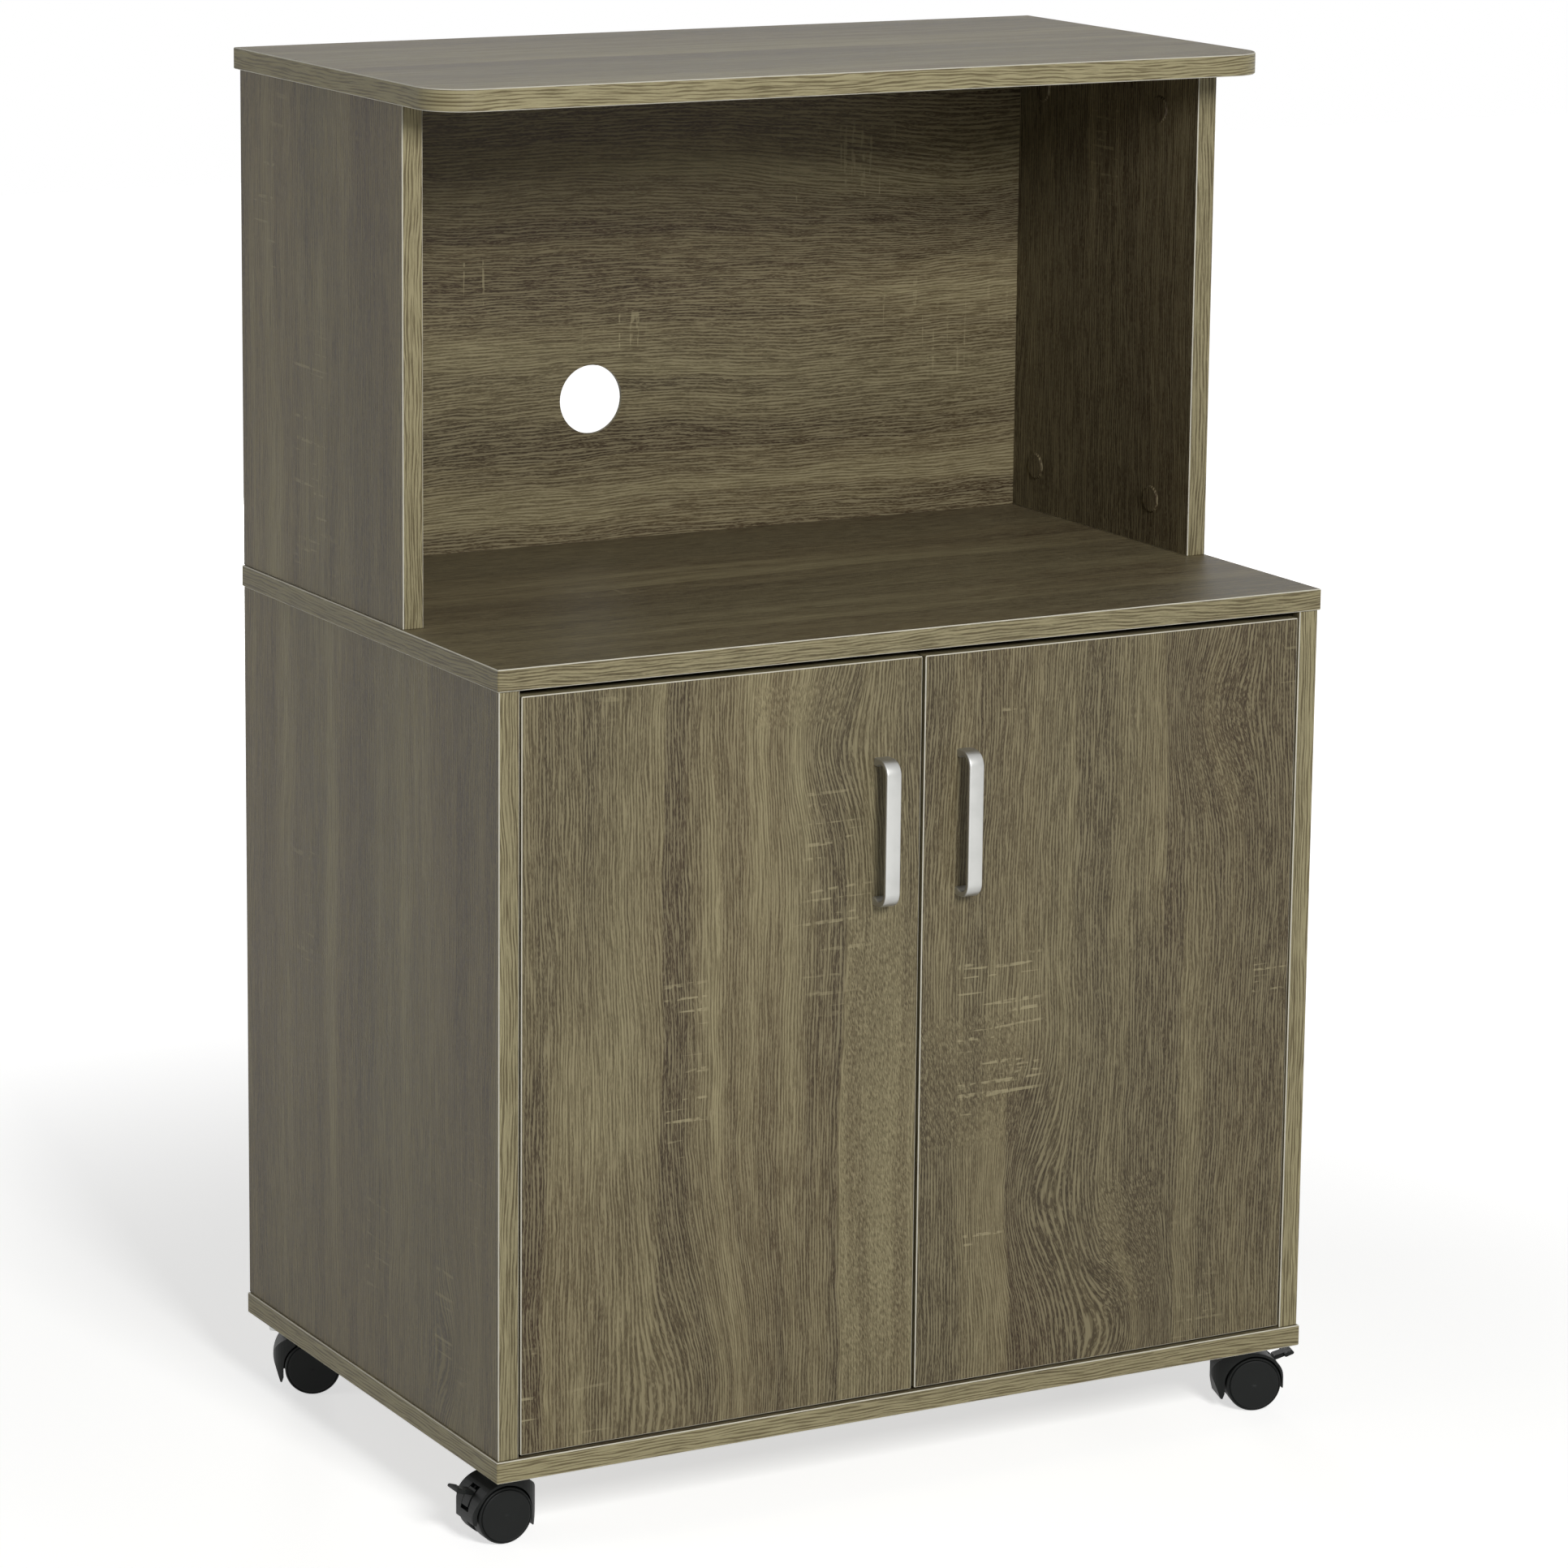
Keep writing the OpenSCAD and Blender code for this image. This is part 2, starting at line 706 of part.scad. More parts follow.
module caster_hood(k) {
    brake = casters[k][3];
    color(plastic) at_caster(k) difference() {
        union() {
            intersection() {
                caster_slab(hood_half) difference() {
                    hood_outline();
                    circle(r = hood_inner, $fn = 48);
                    translate([-hood_inner, -hood_inner]) square([2 * hood_inner, hood_inner]);
                }
                translate([caster_trail, 0, 0]) linear_extrude(caster_height) hood_plan();
            }
            // the boss that turns on the plate's stem
            translate([0, 0, boss_z]) cylinder(r = boss_r, h = hood_top - boss_z, $fn = 32);
            // the web that carries the axle between the wheels
            caster_slab(web_half) union() {
                intersection() {
                    circle(r = hood_inner + 0.5, $fn = 40);
                    translate([-hood_inner, -hood_skirt]) square([2 * hood_inner, 2 * hood_inner]);
                }
                circle(r = 8, $fn = 24);
            }
        }
        translate([caster_trail, -web_half - 1, wheel_r]) rod_y(axle_r + pin_play, 2 * web_half + 2, 20);
        translate([0, 0, thrust_z - stem_length - gap])
            cylinder(r = stem_r + pin_play, h = stem_length + 2, $fn = 24);
        if (brake) {
            // the channel for the lever: wide for its back, narrow round its neck
            caster_slab(channel_half) ring_piece(hood_inner - 0.5, hood_outer + 3, channel_angles);
            caster_slab(web_half + 1) ring_piece(channel_floor, hood_outer, channel_angles);
            caster_slab(lever_half + gap) hull() {
                translate(lever_pin) circle(r = neck_r + 2 * gap, $fn = 20);
                for (a = channel_angles) translate(turned(hood_inner, a)) circle(r = gap, $fn = 8);
            }
            translate([caster_trail + lever_pin[0], -web_half - 1, wheel_r + lever_pin[1]])
                rod_y(lever_pin_r + pin_play, 2 * web_half + 2);
        }
    }
}

module caster_hood_front_left() { caster_hood(0); }
module caster_hood_front_right() { caster_hood(1); }
module caster_hood_rear_left() { caster_hood(2); }
module caster_hood_rear_right() { caster_hood(3); }

// The axle, and on a braked caster the lever's pin
module caster_axle(k) {
    color(metal) at_caster(k) {
        translate([caster_trail, -axle_half, wheel_r]) rod_y(axle_r, 2 * axle_half, 20);
        if (casters[k][3])
            translate([caster_trail + lever_pin[0], -web_half + 0.2, wheel_r + lever_pin[1]])
                rod_y(lever_pin_r, 2 * web_half - 0.4);
    }
}

module caster_axle_front_left() { caster_axle(0); }
module caster_axle_front_right() { caster_axle(1); }
module caster_axle_rear_left() { caster_axle(2); }
module caster_axle_rear_right() { caster_axle(3); }

// One wheel: tread, round shoulder and a closed, slightly domed face over the axle's end
module wheel(k, side) {
    r = wheel_r;
    w = wheel_width;
    bore = axle_r + pin_play;
    deep = axle_half - wheel_in + gap;
    color(plastic) at_caster(k) translate([caster_trail, 0, wheel_r])
        rotate([side > 0 ? -90 : 90, 0, 0]) translate([0, 0, wheel_in]) rotate_extrude($fn = 32)
            polygon([
                [bore, 0], [r - 1, 0], [r, 1], [r, w - 2.4], [r - 0.5, w - 1.2], [r - 1.3, w - 0.8],
                [r - 1.5, w - 1.3], [r - 1.9, w - 1.3], [r - 2.2, w - 0.4], [r - 2.8, w - 0.1],
                [0, w], [0, deep], [bore, deep]
            ]);
}

module wheel_front_left_inner() { wheel(0, -1); }
module wheel_front_left_outer() { wheel(0, 1); }
module wheel_front_right_inner() { wheel(1, 1); }
module wheel_front_right_outer() { wheel(1, -1); }
module wheel_rear_left_inner() { wheel(2, 1); }
module wheel_rear_left_outer() { wheel(2, -1); }
module wheel_rear_right_inner() { wheel(3, -1); }
module wheel_rear_right_outer() { wheel(3, 1); }

// The lever: a neck on the pin, a back in the hood's channel, and a horn that curls up outside
module brake_lever(k) {
    root = turned(horn_root[0], horn_root[1]);
    bend = horn_bend;
    tip = [lever_tip - horn_r[2], horn_bend[1] + horn_rise];
    color(plastic) at_caster(k) difference() {
        union() {
            caster_slab(lever_half) hull() {
                translate(lever_pin) circle(r = neck_r, $fn = 20);
                for (a = [horn_root[1] - 10, horn_root[1]])
                    translate(turned(lever_back[0], a)) circle(r = 0.8, $fn = 12);
            }
            caster_slab(lever_back_half) {
                ring_piece(lever_back[0], lever_back[1], lever_back_angles);
                hull() {
                    translate(root) circle(r = horn_r[0], $fn = 16);
                    translate(bend) circle(r = horn_r[1], $fn = 16);
                }
            }
            caster_slab(lever_width / 2) hull() {
                translate(bend) circle(r = horn_r[1], $fn = 16);
                translate(tip) circle(r = horn_r[2], $fn = 16);
            }
            // ribs for the foot
            caster_slab(lever_width / 2 - 1) for (t = [0.35, 0.65, 0.95])
                translate(bend + t * (tip - bend) + [0, horn_r[2]]) circle(r = 0.5, $fn = 10);
        }
        translate([caster_trail + lever_pin[0], -lever_half - 1, wheel_r + lever_pin[1]])
            rod_y(lever_pin_r + pin_play, 2 * lever_half + 2);
    }
}

module brake_lever_left() { brake_lever(0); }
module brake_lever_right() { brake_lever(1); }

top_panel();
upper_side_left();
upper_side_right();
upper_back_panel();
worktop();
lower_side_left();
lower_side_right();
lower_back_panel();
bottom_panel();
shelf();
shelf_pins();
cam_locks();
cam_bolts();
cam_caps();
door_left();
door_right();
handle_left();
handle_right();
handle_screws_left();
handle_screws_right();
hinge_cups_left();
hinge_cups_right();
hinge_arms_left();
hinge_arms_right();
hinge_plates_left();
hinge_plates_right();
hinge_links_left();
hinge_links_right();
hinge_pins_left();
hinge_pins_right();
caster_screws();
caster_plate_front_left();
caster_plate_front_right();
caster_plate_rear_left();
caster_plate_rear_right();
caster_hood_front_left();
caster_hood_front_right();
caster_hood_rear_left();
caster_hood_rear_right();
caster_axle_front_left();
caster_axle_front_right();
caster_axle_rear_left();
caster_axle_rear_right();
wheel_front_left_inner();
wheel_front_left_outer();
wheel_front_right_inner();
wheel_front_right_outer();
wheel_rear_left_inner();
wheel_rear_left_outer();
wheel_rear_right_inner();
wheel_rear_right_outer();
brake_lever_left();
brake_lever_right();
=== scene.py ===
"""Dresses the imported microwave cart: printed-oak boards, satin bow handles, steel fittings and black casters."""

import logging
import math
from dataclasses import dataclass
from enum import Enum

import bmesh
import bpy
from mathutils import Matrix, Vector


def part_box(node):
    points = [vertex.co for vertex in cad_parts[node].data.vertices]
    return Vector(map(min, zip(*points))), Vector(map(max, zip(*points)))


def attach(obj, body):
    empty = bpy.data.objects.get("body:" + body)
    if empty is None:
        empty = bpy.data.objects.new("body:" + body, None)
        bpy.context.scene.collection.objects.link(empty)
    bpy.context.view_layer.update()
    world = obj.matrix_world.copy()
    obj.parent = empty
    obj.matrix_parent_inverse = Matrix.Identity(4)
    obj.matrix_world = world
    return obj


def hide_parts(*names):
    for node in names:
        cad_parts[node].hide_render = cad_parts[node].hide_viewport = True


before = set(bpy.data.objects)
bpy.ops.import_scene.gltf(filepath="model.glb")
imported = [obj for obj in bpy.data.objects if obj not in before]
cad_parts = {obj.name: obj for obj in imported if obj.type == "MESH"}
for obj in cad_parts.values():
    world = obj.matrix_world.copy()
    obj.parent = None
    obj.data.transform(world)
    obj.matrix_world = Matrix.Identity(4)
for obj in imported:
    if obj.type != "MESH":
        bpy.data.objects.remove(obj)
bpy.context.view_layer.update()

log = logging.getLogger("cart")

Point = tuple[float, float, float]
Colour = tuple[float, float, float, float]
Socket = bpy.types.NodeSocket


def from_srgb(red: int, green: int, blue: int) -> Colour:
    """Turns an 8-bit screen colour into the linear one that a shader takes.

    Args:
        red, green, blue: the colour as a screen shows it, 0 to 255.

    Returns:
        The linear colour with an alpha of 1.
    """
    def linear(value: float) -> float:
        """One channel, 0 to 1, by the sRGB curve."""
        return value / 12.92 if value <= 0.04045 else ((value + 0.055) / 1.055) ** 2.4
    return (linear(red / 255), linear(green / 255), linear(blue / 255), 1.0)


class Net:
    """A node tree being wired, for a material or for a group."""

    def __init__(self, tree: bpy.types.NodeTree) -> None:
        """Starts on an existing tree."""
        self.tree = tree

    def add(self, kind: str, inputs: dict | None = None, **settings: object) -> bpy.types.Node:
        """Adds a node.

        Args:
            kind: the node's type, without its "ShaderNode" start.
            inputs: for each input, by name or number, a socket to link or a value to set.
            settings: attributes set on the node first.

        Returns:
            The new node.
        """
        node = self.tree.nodes.new("ShaderNode" + kind)
        for name, value in settings.items():
            setattr(node, name, value)
        for key, value in (inputs or {}).items():
            if isinstance(value, Socket):
                self.tree.links.new(value, node.inputs[key])
            else:
                node.inputs[key].default_value = value
        return node

    def math(self, operation: str, a: object, b: object = None, c: object = None, clamp: bool = False) -> Socket:
        """One sum on one, two or three numbers."""
        inputs = {place: value for place, value in enumerate((a, b, c)) if value is not None}
        return self.add("Math", inputs, operation=operation, use_clamp=clamp).outputs[0]

    def vector(self, operation: str, a: object, b: object = None) -> bpy.types.Node:
        """One sum on one or two vectors, as its node."""
        inputs = {0: a} if b is None else {0: a, 1: b}
        return self.add("VectorMath", inputs, operation=operation)

    def dot(self, a: object, b: object) -> Socket:
        """The dot product of two vectors."""
        return self.vector("DOT_PRODUCT", a, b).outputs["Value"]

    def join(self, x: object, y: object, z: object) -> Socket:
        """A vector from three numbers."""
        return self.add("CombineXYZ", {0: x, 1: y, 2: z}).outputs[0]

    def step(self, value: object, low: float, high: float) -> Socket:
        """A smooth step from 0 at low to 1 at high."""
        return self.add("MapRange", {"Value": value, "From Min": low, "From Max": high},
                        interpolation_type="SMOOTHSTEP").outputs[0]

    def blend(self, share: object, a: object, b: object) -> Socket:
        """The number a where share is 0, and b where it is 1."""
        return self.add("Mix", {0: share, 2: a, 3: b}, data_type="FLOAT").outputs[0]

    def tint(self, share: object, a: object, b: object, kind: str = "MIX") -> Socket:
        """The colour a where share is 0, and b, laid on as kind says, where it is 1."""
        return self.add("Mix", {0: share, 6: a, 7: b}, data_type="RGBA", blend_type=kind).outputs[2]

    def noise(self, at: object, detail: float, rough: float = 0.5, scale: object = 1.0) -> Socket:
        """Smooth noise from 0 to 1 at a place."""
        return self.add("TexNoise", {"Vector": at, "Scale": scale, "Detail": detail, "Roughness": rough}).outputs[0]

    def ramp(self, share: object, stops: list[tuple[float, Colour]]) -> Socket:
        """A colour along a ramp.

        Args:
            share: how far along the ramp, 0 to 1.
            stops: the ramp's (place, colour) pairs, in order.

        Returns:
            The colour.
        """
        node = self.add("ValToRGB", {0: share})
        ramp = node.color_ramp
        while len(ramp.elements) < len(stops):
            ramp.elements.new(0.5)
        for element, (place, colour) in zip(ramp.elements, stops):
            element.position = place
            element.color = colour
        return node.outputs[0]


@dataclass(frozen=True)
class Port:
    """One named input or output of a node group."""

    name: str
    kind: str = "NodeSocketFloat"
    value: object = None


VECTOR = "NodeSocketVector"


class Effect:
    """A shader node group that several materials share, made once."""

    made: dict[str, bpy.types.NodeTree] = {}
    name = ""
    inputs: tuple[Port, ...] = ()
    outputs: tuple[Port, ...] = ()

    def tree(self) -> bpy.types.NodeTree:
        """Gives the group's tree, which is built the first time it is asked for.

        Returns:
            The tree.
        """
        if self.name not in Effect.made:
            tree = bpy.data.node_groups.new(self.name, "ShaderNodeTree")
            for port in self.inputs:
                socket = tree.interface.new_socket(port.name, in_out="INPUT", socket_type=port.kind)
                if port.value is not None:
                    socket.default_value = port.value
            for port in self.outputs:
                tree.interface.new_socket(port.name, in_out="OUTPUT", socket_type=port.kind)
            net = Net(tree)
            start = tree.nodes.new("NodeGroupInput")
            results = self.wire(net, {port.name: start.outputs[port.name] for port in self.inputs})
            end = tree.nodes.new("NodeGroupOutput")
            for name, socket in results.items():
                tree.links.new(socket, end.inputs[name])
            Effect.made[self.name] = tree
        return Effect.made[self.name]

    def wire(self, net: Net, given: dict[str, Socket]) -> dict[str, Socket]:
        """Wires the group.

        Args:
            net: the group's tree.
            given: the group's inputs by name.

        Returns:
            The group's outputs by name.
        """
        raise NotImplementedError

    def place(self, net: Net, values: dict[str, object]) -> bpy.types.Node:
        """Puts the group in a material.

        Args:
            net: the material's tree.
            values: for each input a socket or a value.

        Returns:
            The group's node.
        """
        return net.add("Group", values, node_tree=self.tree())


class GrainSpace(Effect):
    """Turns a place on a board into places across and along the grain, wrapped round the board's edges."""

    name = "grain_space"
    inputs = (Port("Position", VECTOR), Port("Normal", VECTOR), Port("Across", VECTOR), Port("Along", VECTOR),
              Port("Depth", VECTOR))
    outputs = (Port("U"), Port("V"), Port("W"), Port("Band"), Port("Arris"))
    # how squarely a surface faces through its board where the edge band ends, and its arris and face start
    band_ends = (0.35, 0.5)
    arris_starts = (0.25, 0.4)
    face_starts = (0.93, 0.97)

    def wire(self, net: Net, given: dict[str, Socket]) -> dict[str, Socket]:
        """See Effect.wire."""
        place, normal = given["Position"], given["Normal"]
        across = net.dot(place, given["Across"])
        along = net.dot(place, given["Along"])
        depth = net.dot(place, given["Depth"])
        facing = net.math("ABSOLUTE", net.dot(normal, given["Depth"]))
        band = net.math("SUBTRACT", 1.0, net.step(facing, *self.band_ends))
        to_face = net.math("SUBTRACT", 1.0, net.step(facing, *self.face_starts))
        # the arris faces, which the oak paints with a pale line: partly the band's pale edge, partly a painted
        # highlight
        arris_line_and_highlight = net.math("MULTIPLY", to_face, net.step(facing, *self.arris_starts))
        return {"U": net.blend(band, across, depth),
                "V": net.math("ADD", along, net.math("MULTIPLY", band, across)),
                "W": net.math("MULTIPLY", depth, net.math("SUBTRACT", 1.0, band)), "Band": band, "Arris": arris_line_and_highlight}


class Swell(Effect):
    """Pushes the grain aside round one place, as round a knot."""

    name = "swell"
    inputs = (Port("U"), Port("V"), Port("Line"), Port("Height"), Port("Width"), Port("Reach"), Port("Push"))
    outputs = (Port("U"),)

    def wire(self, net: Net, given: dict[str, Socket]) -> dict[str, Socket]:
        """See Effect.wire."""
        aside = net.math("DIVIDE", net.math("SUBTRACT", given["U"], given["Line"]), given["Width"])
        above = net.math("DIVIDE", net.math("SUBTRACT", given["V"], given["Height"]), given["Reach"])
        far = net.math("ADD", net.math("MULTIPLY", aside, aside), net.math("MULTIPLY", above, above))
        near = net.math("EXPONENT", net.math("MULTIPLY", far, -1.0))
        return {"U": net.math("MULTIPLY_ADD", near, given["Push"], given["U"])}


@dataclass(frozen=True)
class Wave:
    """Noise that moves the grain aside: features a metre across and along it, detail, and width in metres."""

    across: float
    along: float
    detail: float
    width: float


class Sway(Effect):
    """The slow sway and the small quiver of the grain."""

    name = "sway"
    inputs = (Port("U"), Port("V"), Port("W"))
    outputs = (Port("U"),)
    waves = (Wave(7.0, 4.0, 1.0, 0.022), Wave(60.0, 24.0, 2.0, 0.004))

    def wire(self, net: Net, given: dict[str, Socket]) -> dict[str, Socket]:
        """See Effect.wire."""
        u, v, w = given["U"], given["V"], given["W"]
        bent = u
        for wave in self.waves:
            at = net.join(net.math("MULTIPLY", u, wave.across), net.math("MULTIPLY", v, wave.along), w)
            aside = net.math("MULTIPLY", net.math("SUBTRACT", net.noise(at, wave.detail), 0.5), wave.width)
            bent = net.math("ADD", bent, aside)
        return {"U": bent}


class Patch(Effect):
    """A patch of a board: firm at one side and fading towards the other, with soft ends."""

    name = "patch"
    inputs = (Port("U"), Port("V"), Port("Firm Side"), Port("Far Side"), Port("Low"), Port("High"), Port("Lean"),
              Port("Fade", value=0.1))
    outputs = (Port("Mask"),)
    # how soft the firm side and the ends are, as shares of the patch
    side_soft = 0.05
    end_soft = 0.1

    def wire(self, net: Net, given: dict[str, Socket]) -> dict[str, Socket]:
        """See Effect.wire."""
        rise = net.math("SUBTRACT", given["V"], given["Low"])
        tall = net.math("SUBTRACT", given["High"], given["Low"])
        u = net.math("SUBTRACT", given["U"], net.math("MULTIPLY", rise, given["Lean"]))
        across = net.math("DIVIDE", net.math("SUBTRACT", u, given["Firm Side"]),
                          net.math("SUBTRACT", given["Far Side"], given["Firm Side"]))
        up = net.math("DIVIDE", rise, tall)
        fading = net.add("MapRange", {"Value": across, "From Min": given["Fade"], "From Max": 1.0, "To Min": 1.0,
                                      "To Max": 0.0}, interpolation_type="SMOOTHSTEP").outputs[0]
        side = net.math("MULTIPLY", net.step(across, 0.0, self.side_soft), fading)
        over = net.step(up, 1.0 - self.end_soft, 1.0 + self.end_soft)
        ends = net.math("MULTIPLY", net.step(up, -self.end_soft, self.end_soft), net.math("SUBTRACT", 1.0, over))
        return {"Mask": net.math("MULTIPLY", side, ends)}


@dataclass(frozen=True)
class Streaks:
    """Noise drawn out along the grain: features a metre across and along it, detail, roughness and slant."""

    across: float
    along: float
    detail: float
    rough: float = 0.5
    slant: float = 0.0

    def wire(self, net: Net, u: Socket, v: Socket, w: Socket) -> Socket:
        """Wires the noise.

        Args:
            net: the group's tree.
            u, v, w: the place across the grain, along it and through the board.

        Returns:
            The noise, 0 to 1.
        """
        at = net.math("ADD", net.math("MULTIPLY", u, self.across), net.math("MULTIPLY", v, self.slant * self.across))
        place = net.join(at, net.math("MULTIPLY", v, self.along), net.math("MULTIPLY", w, self.across))
        return net.noise(place, self.detail, self.rough)


@dataclass(frozen=True)
class Cuts:
    """Noise that lies across the grain, with that many features a metre each way, and the step that cuts it."""

    across: float
    along: float
    detail: float
    low: float
    high: float

    def wire(self, net: Net, u: Socket, v: Socket, w: Socket) -> Socket:
        """Wires the cuts.

        Args:
            net: the group's tree.
            u, v, w: the place across the grain, along it and through the board.

        Returns:
            The mask, 0 to 1.
        """
        at = net.join(net.math("MULTIPLY", u, self.across), net.math("MULTIPLY", v, self.along), w)
        return net.step(net.noise(at, self.detail), self.low, self.high)


class PrintedOak(Effect):
    """The printed oak: broad streaks, growth lines, fibres, pores and saw ticks, as masks."""

    name = "printed_oak"
    inputs = (Port("U"), Port("V"), Port("W"), Port("Band"), Port("Streaks"), Port("Crinkle"), Port("Ticks"))
    outputs = (Port("Tone"), Port("Fibre"), Port("Pore"), Port("Tick"), Port("Hue"), Port("Height"))
    # the tone's layers, each with how much it counts, and how much paler an edge band is
    broad, broad_share = Streaks(17.0, 1.2, 1.0), 1.7
    middle, middle_share = Streaks(60.0, 2.4, 2.0), 1.3
    narrow, narrow_share = Streaks(170.0, 6.0, 2.0), 0.7
    band_tone = 0.3
    # the growth lines: radians a metre, how many radians they drift, and how much they count
    line_rate, line_share = 2700.0, 0.12
    drift, drift_share = Streaks(150.0, 9.0, 2.0), 11.0
    # fibres and grooves, plain and in a crinkled patch
    broken = Streaks(1000.0, 45.0, 1.0, 0.6)
    short = Streaks(900.0, 230.0, 1.0, 0.6, 0.24)
    groove = Streaks(1300.0, 30.0, 1.0, 0.6, 0.012)
    short_groove = Streaks(1150.0, 250.0, 1.0, 0.55, 0.2)
    dash_step = (0.5, 0.62)
    fine, fine_step, fine_share = Streaks(2300.0, 260.0, 1.0), (0.48, 0.62), 0.75
    # saw ticks: the cuts, what breaks them, and the loose places that have some, which count for less
    cut = Cuts(16.0, 330.0, 0.0, 0.66, 0.72)
    gap = Cuts(160.0, 200.0, 1.0, 0.4, 0.56)
    loose, loose_share = Cuts(12.0, 5.0, 1.0, 0.66, 0.74), 0.45
    # where the print turns greenish
    hue, hue_step = Streaks(9.0, 1.6, 1.0), (0.3, 0.7)
    # how high the fibres stand and how deep the pores are, to each other
    fibre_rise, pore_fall = 0.5, 0.6

    def wire(self, net: Net, given: dict[str, Socket]) -> dict[str, Socket]:
        """See Effect.wire."""
        place = (given["U"], given["V"], given["W"])
        band, crinkle = given["Band"], given["Crinkle"]

        def centred(streaks: Streaks, share: float) -> Socket:
            """Streaks about 0, times a share."""
            return net.math("MULTIPLY", net.math("SUBTRACT", streaks.wire(net, *place), 0.5), share)

        tone = net.math("ADD", centred(self.broad, self.broad_share), centred(self.middle, self.middle_share))
        tone = net.math("ADD", tone, centred(self.narrow, self.narrow_share))
        # the streak marks add to the tone, and some of them are painted shade
        tone = net.math("ADD", net.math("ADD", tone, 0.5), given["Streaks"])
        tone = net.math("ADD", tone, net.math("MULTIPLY", band, self.band_tone), clamp=True)
        drift = net.math("MULTIPLY", self.drift.wire(net, *place), self.drift_share)
        line = net.math("SINE", net.math("ADD", net.math("MULTIPLY", given["U"], self.line_rate), drift))
        line = net.math("MULTIPLY", line, self.line_share)
        dash = net.blend(crinkle, net.math("ADD", self.broken.wire(net, *place), line), self.short.wire(net, *place))
        fine = net.step(self.fine.wire(net, *place), *self.fine_step)
        fibre = net.math("MAXIMUM", net.step(dash, *self.dash_step), net.math("MULTIPLY", fine, self.fine_share))
        groove = net.blend(crinkle, net.math("SUBTRACT", self.groove.wire(net, *place), line),
                           self.short_groove.wire(net, *place))
        pore = net.step(groove, *self.dash_step)
        tick = net.math("MULTIPLY", self.cut.wire(net, *place), self.gap.wire(net, *place))
        loose = net.math("MULTIPLY", self.loose.wire(net, *place), self.loose_share)
        tick = net.math("MULTIPLY", tick, net.math("MAXIMUM", given["Ticks"], loose))
        tick = net.math("MULTIPLY", tick, net.math("SUBTRACT", 1.0, band))
        hue = net.step(self.hue.wire(net, *place), *self.hue_step)
        height = net.math("SUBTRACT", net.math("MULTIPLY", fibre, self.fibre_rise),
                          net.math("MULTIPLY", pore, self.pore_fall))
        return {"Tone": tone, "Fibre": fibre, "Pore": pore, "Tick": tick, "Hue": hue, "Height": height}


class FineGrit(Effect):
    """A fine speckle and a slow blotch, for cast and moulded surfaces and dull metal."""

    name = "fine_grit"
    inputs = (Port("Position", VECTOR), Port("Grain", value=1500.0), Port("Blotch", value=40.0))
    outputs = (Port("Speckle"), Port("Cloud"))

    def wire(self, net: Net, given: dict[str, Socket]) -> dict[str, Socket]:
        """See Effect.wire."""
        return {"Speckle": net.noise(given["Position"], 2.0, 0.6, given["Grain"]),
                "Cloud": net.noise(given["Position"], 3.0, 0.6, given["Blotch"])}


class Way(Enum):
    """How a board lies, as the directions across its grain, along it and through the board."""

    SIDE = ((0, 1, 0), (0, 0, 1), (1, 0, 0))
    DOOR = ((1, 0, 0), (0, 0, 1), (0, 1, 0))
    FLAT = ((0, 1, 0), (1, 0, 0), (0, 0, 1))
    BACK = ((0, 0, 1), (1, 0, 0), (0, 1, 0))


class Kind(Enum):
    """What a mark does to the print, and where across itself it starts to fade."""

    # a streak lightens or darkens the print; some streak marks are painted shade
    STREAK_AND_SHADE = 0.1
    CRINKLE = 0.8
    TICKS = 0.85


@dataclass(frozen=True)
class Mark:
    """A patch of the print, in metres on its board: from its firm side to its far one, and from low to high.

    A streak's strength adds light, or shade below 0, and some streaks are painted shade; a crinkled patch's or the
    ticks' is how much of it shows.
    The lean is how far the patch goes aside for each metre along the grain.
    """

    kind: Kind
    firm: float
    far: float
    low: float
    high: float
    strength: float = 1.0
    lean: float = 0.0


@dataclass(frozen=True)
class Bend:
    """A place where the grain is pushed aside, in metres: where it is, how far it spreads and the push."""

    line: float
    height: float
    width: float
    reach: float
    push: float


def new_material(name: str) -> tuple[bpy.types.Material, Net, bpy.types.Node, bpy.types.Node]:
    """Starts a material.

    Args:
        name: the material's name.

    Returns:
        The material, its net, its Principled shader and its texture coordinates.
    """
    material = bpy.data.materials.new(name)
    material.use_nodes = True
    net = Net(material.node_tree)
    shader = material.node_tree.nodes["Principled BSDF"]
    return material, net, shader, net.add("TexCoord")


@dataclass(frozen=True)
class Board:
    """One board of the cart that keeps its CAD solid and wears its own cut of the print.

    The seed picks the cut, and the shade darkens it, partly as a darker print and partly as painted shade.
    A board with a painted arris shows a pale line along its edges: the band's pale edge and a painted highlight.
    """

    node: str
    way: Way
    seed: float
    marks: tuple[Mark, ...] = ()
    bends: tuple[Bend, ...] = ()
    # how much the board's tone is lowered: partly a darker print, partly painted shade where the board gets less
    # light
    shade: float = 0.0
    pale_arris_highlight: bool = True


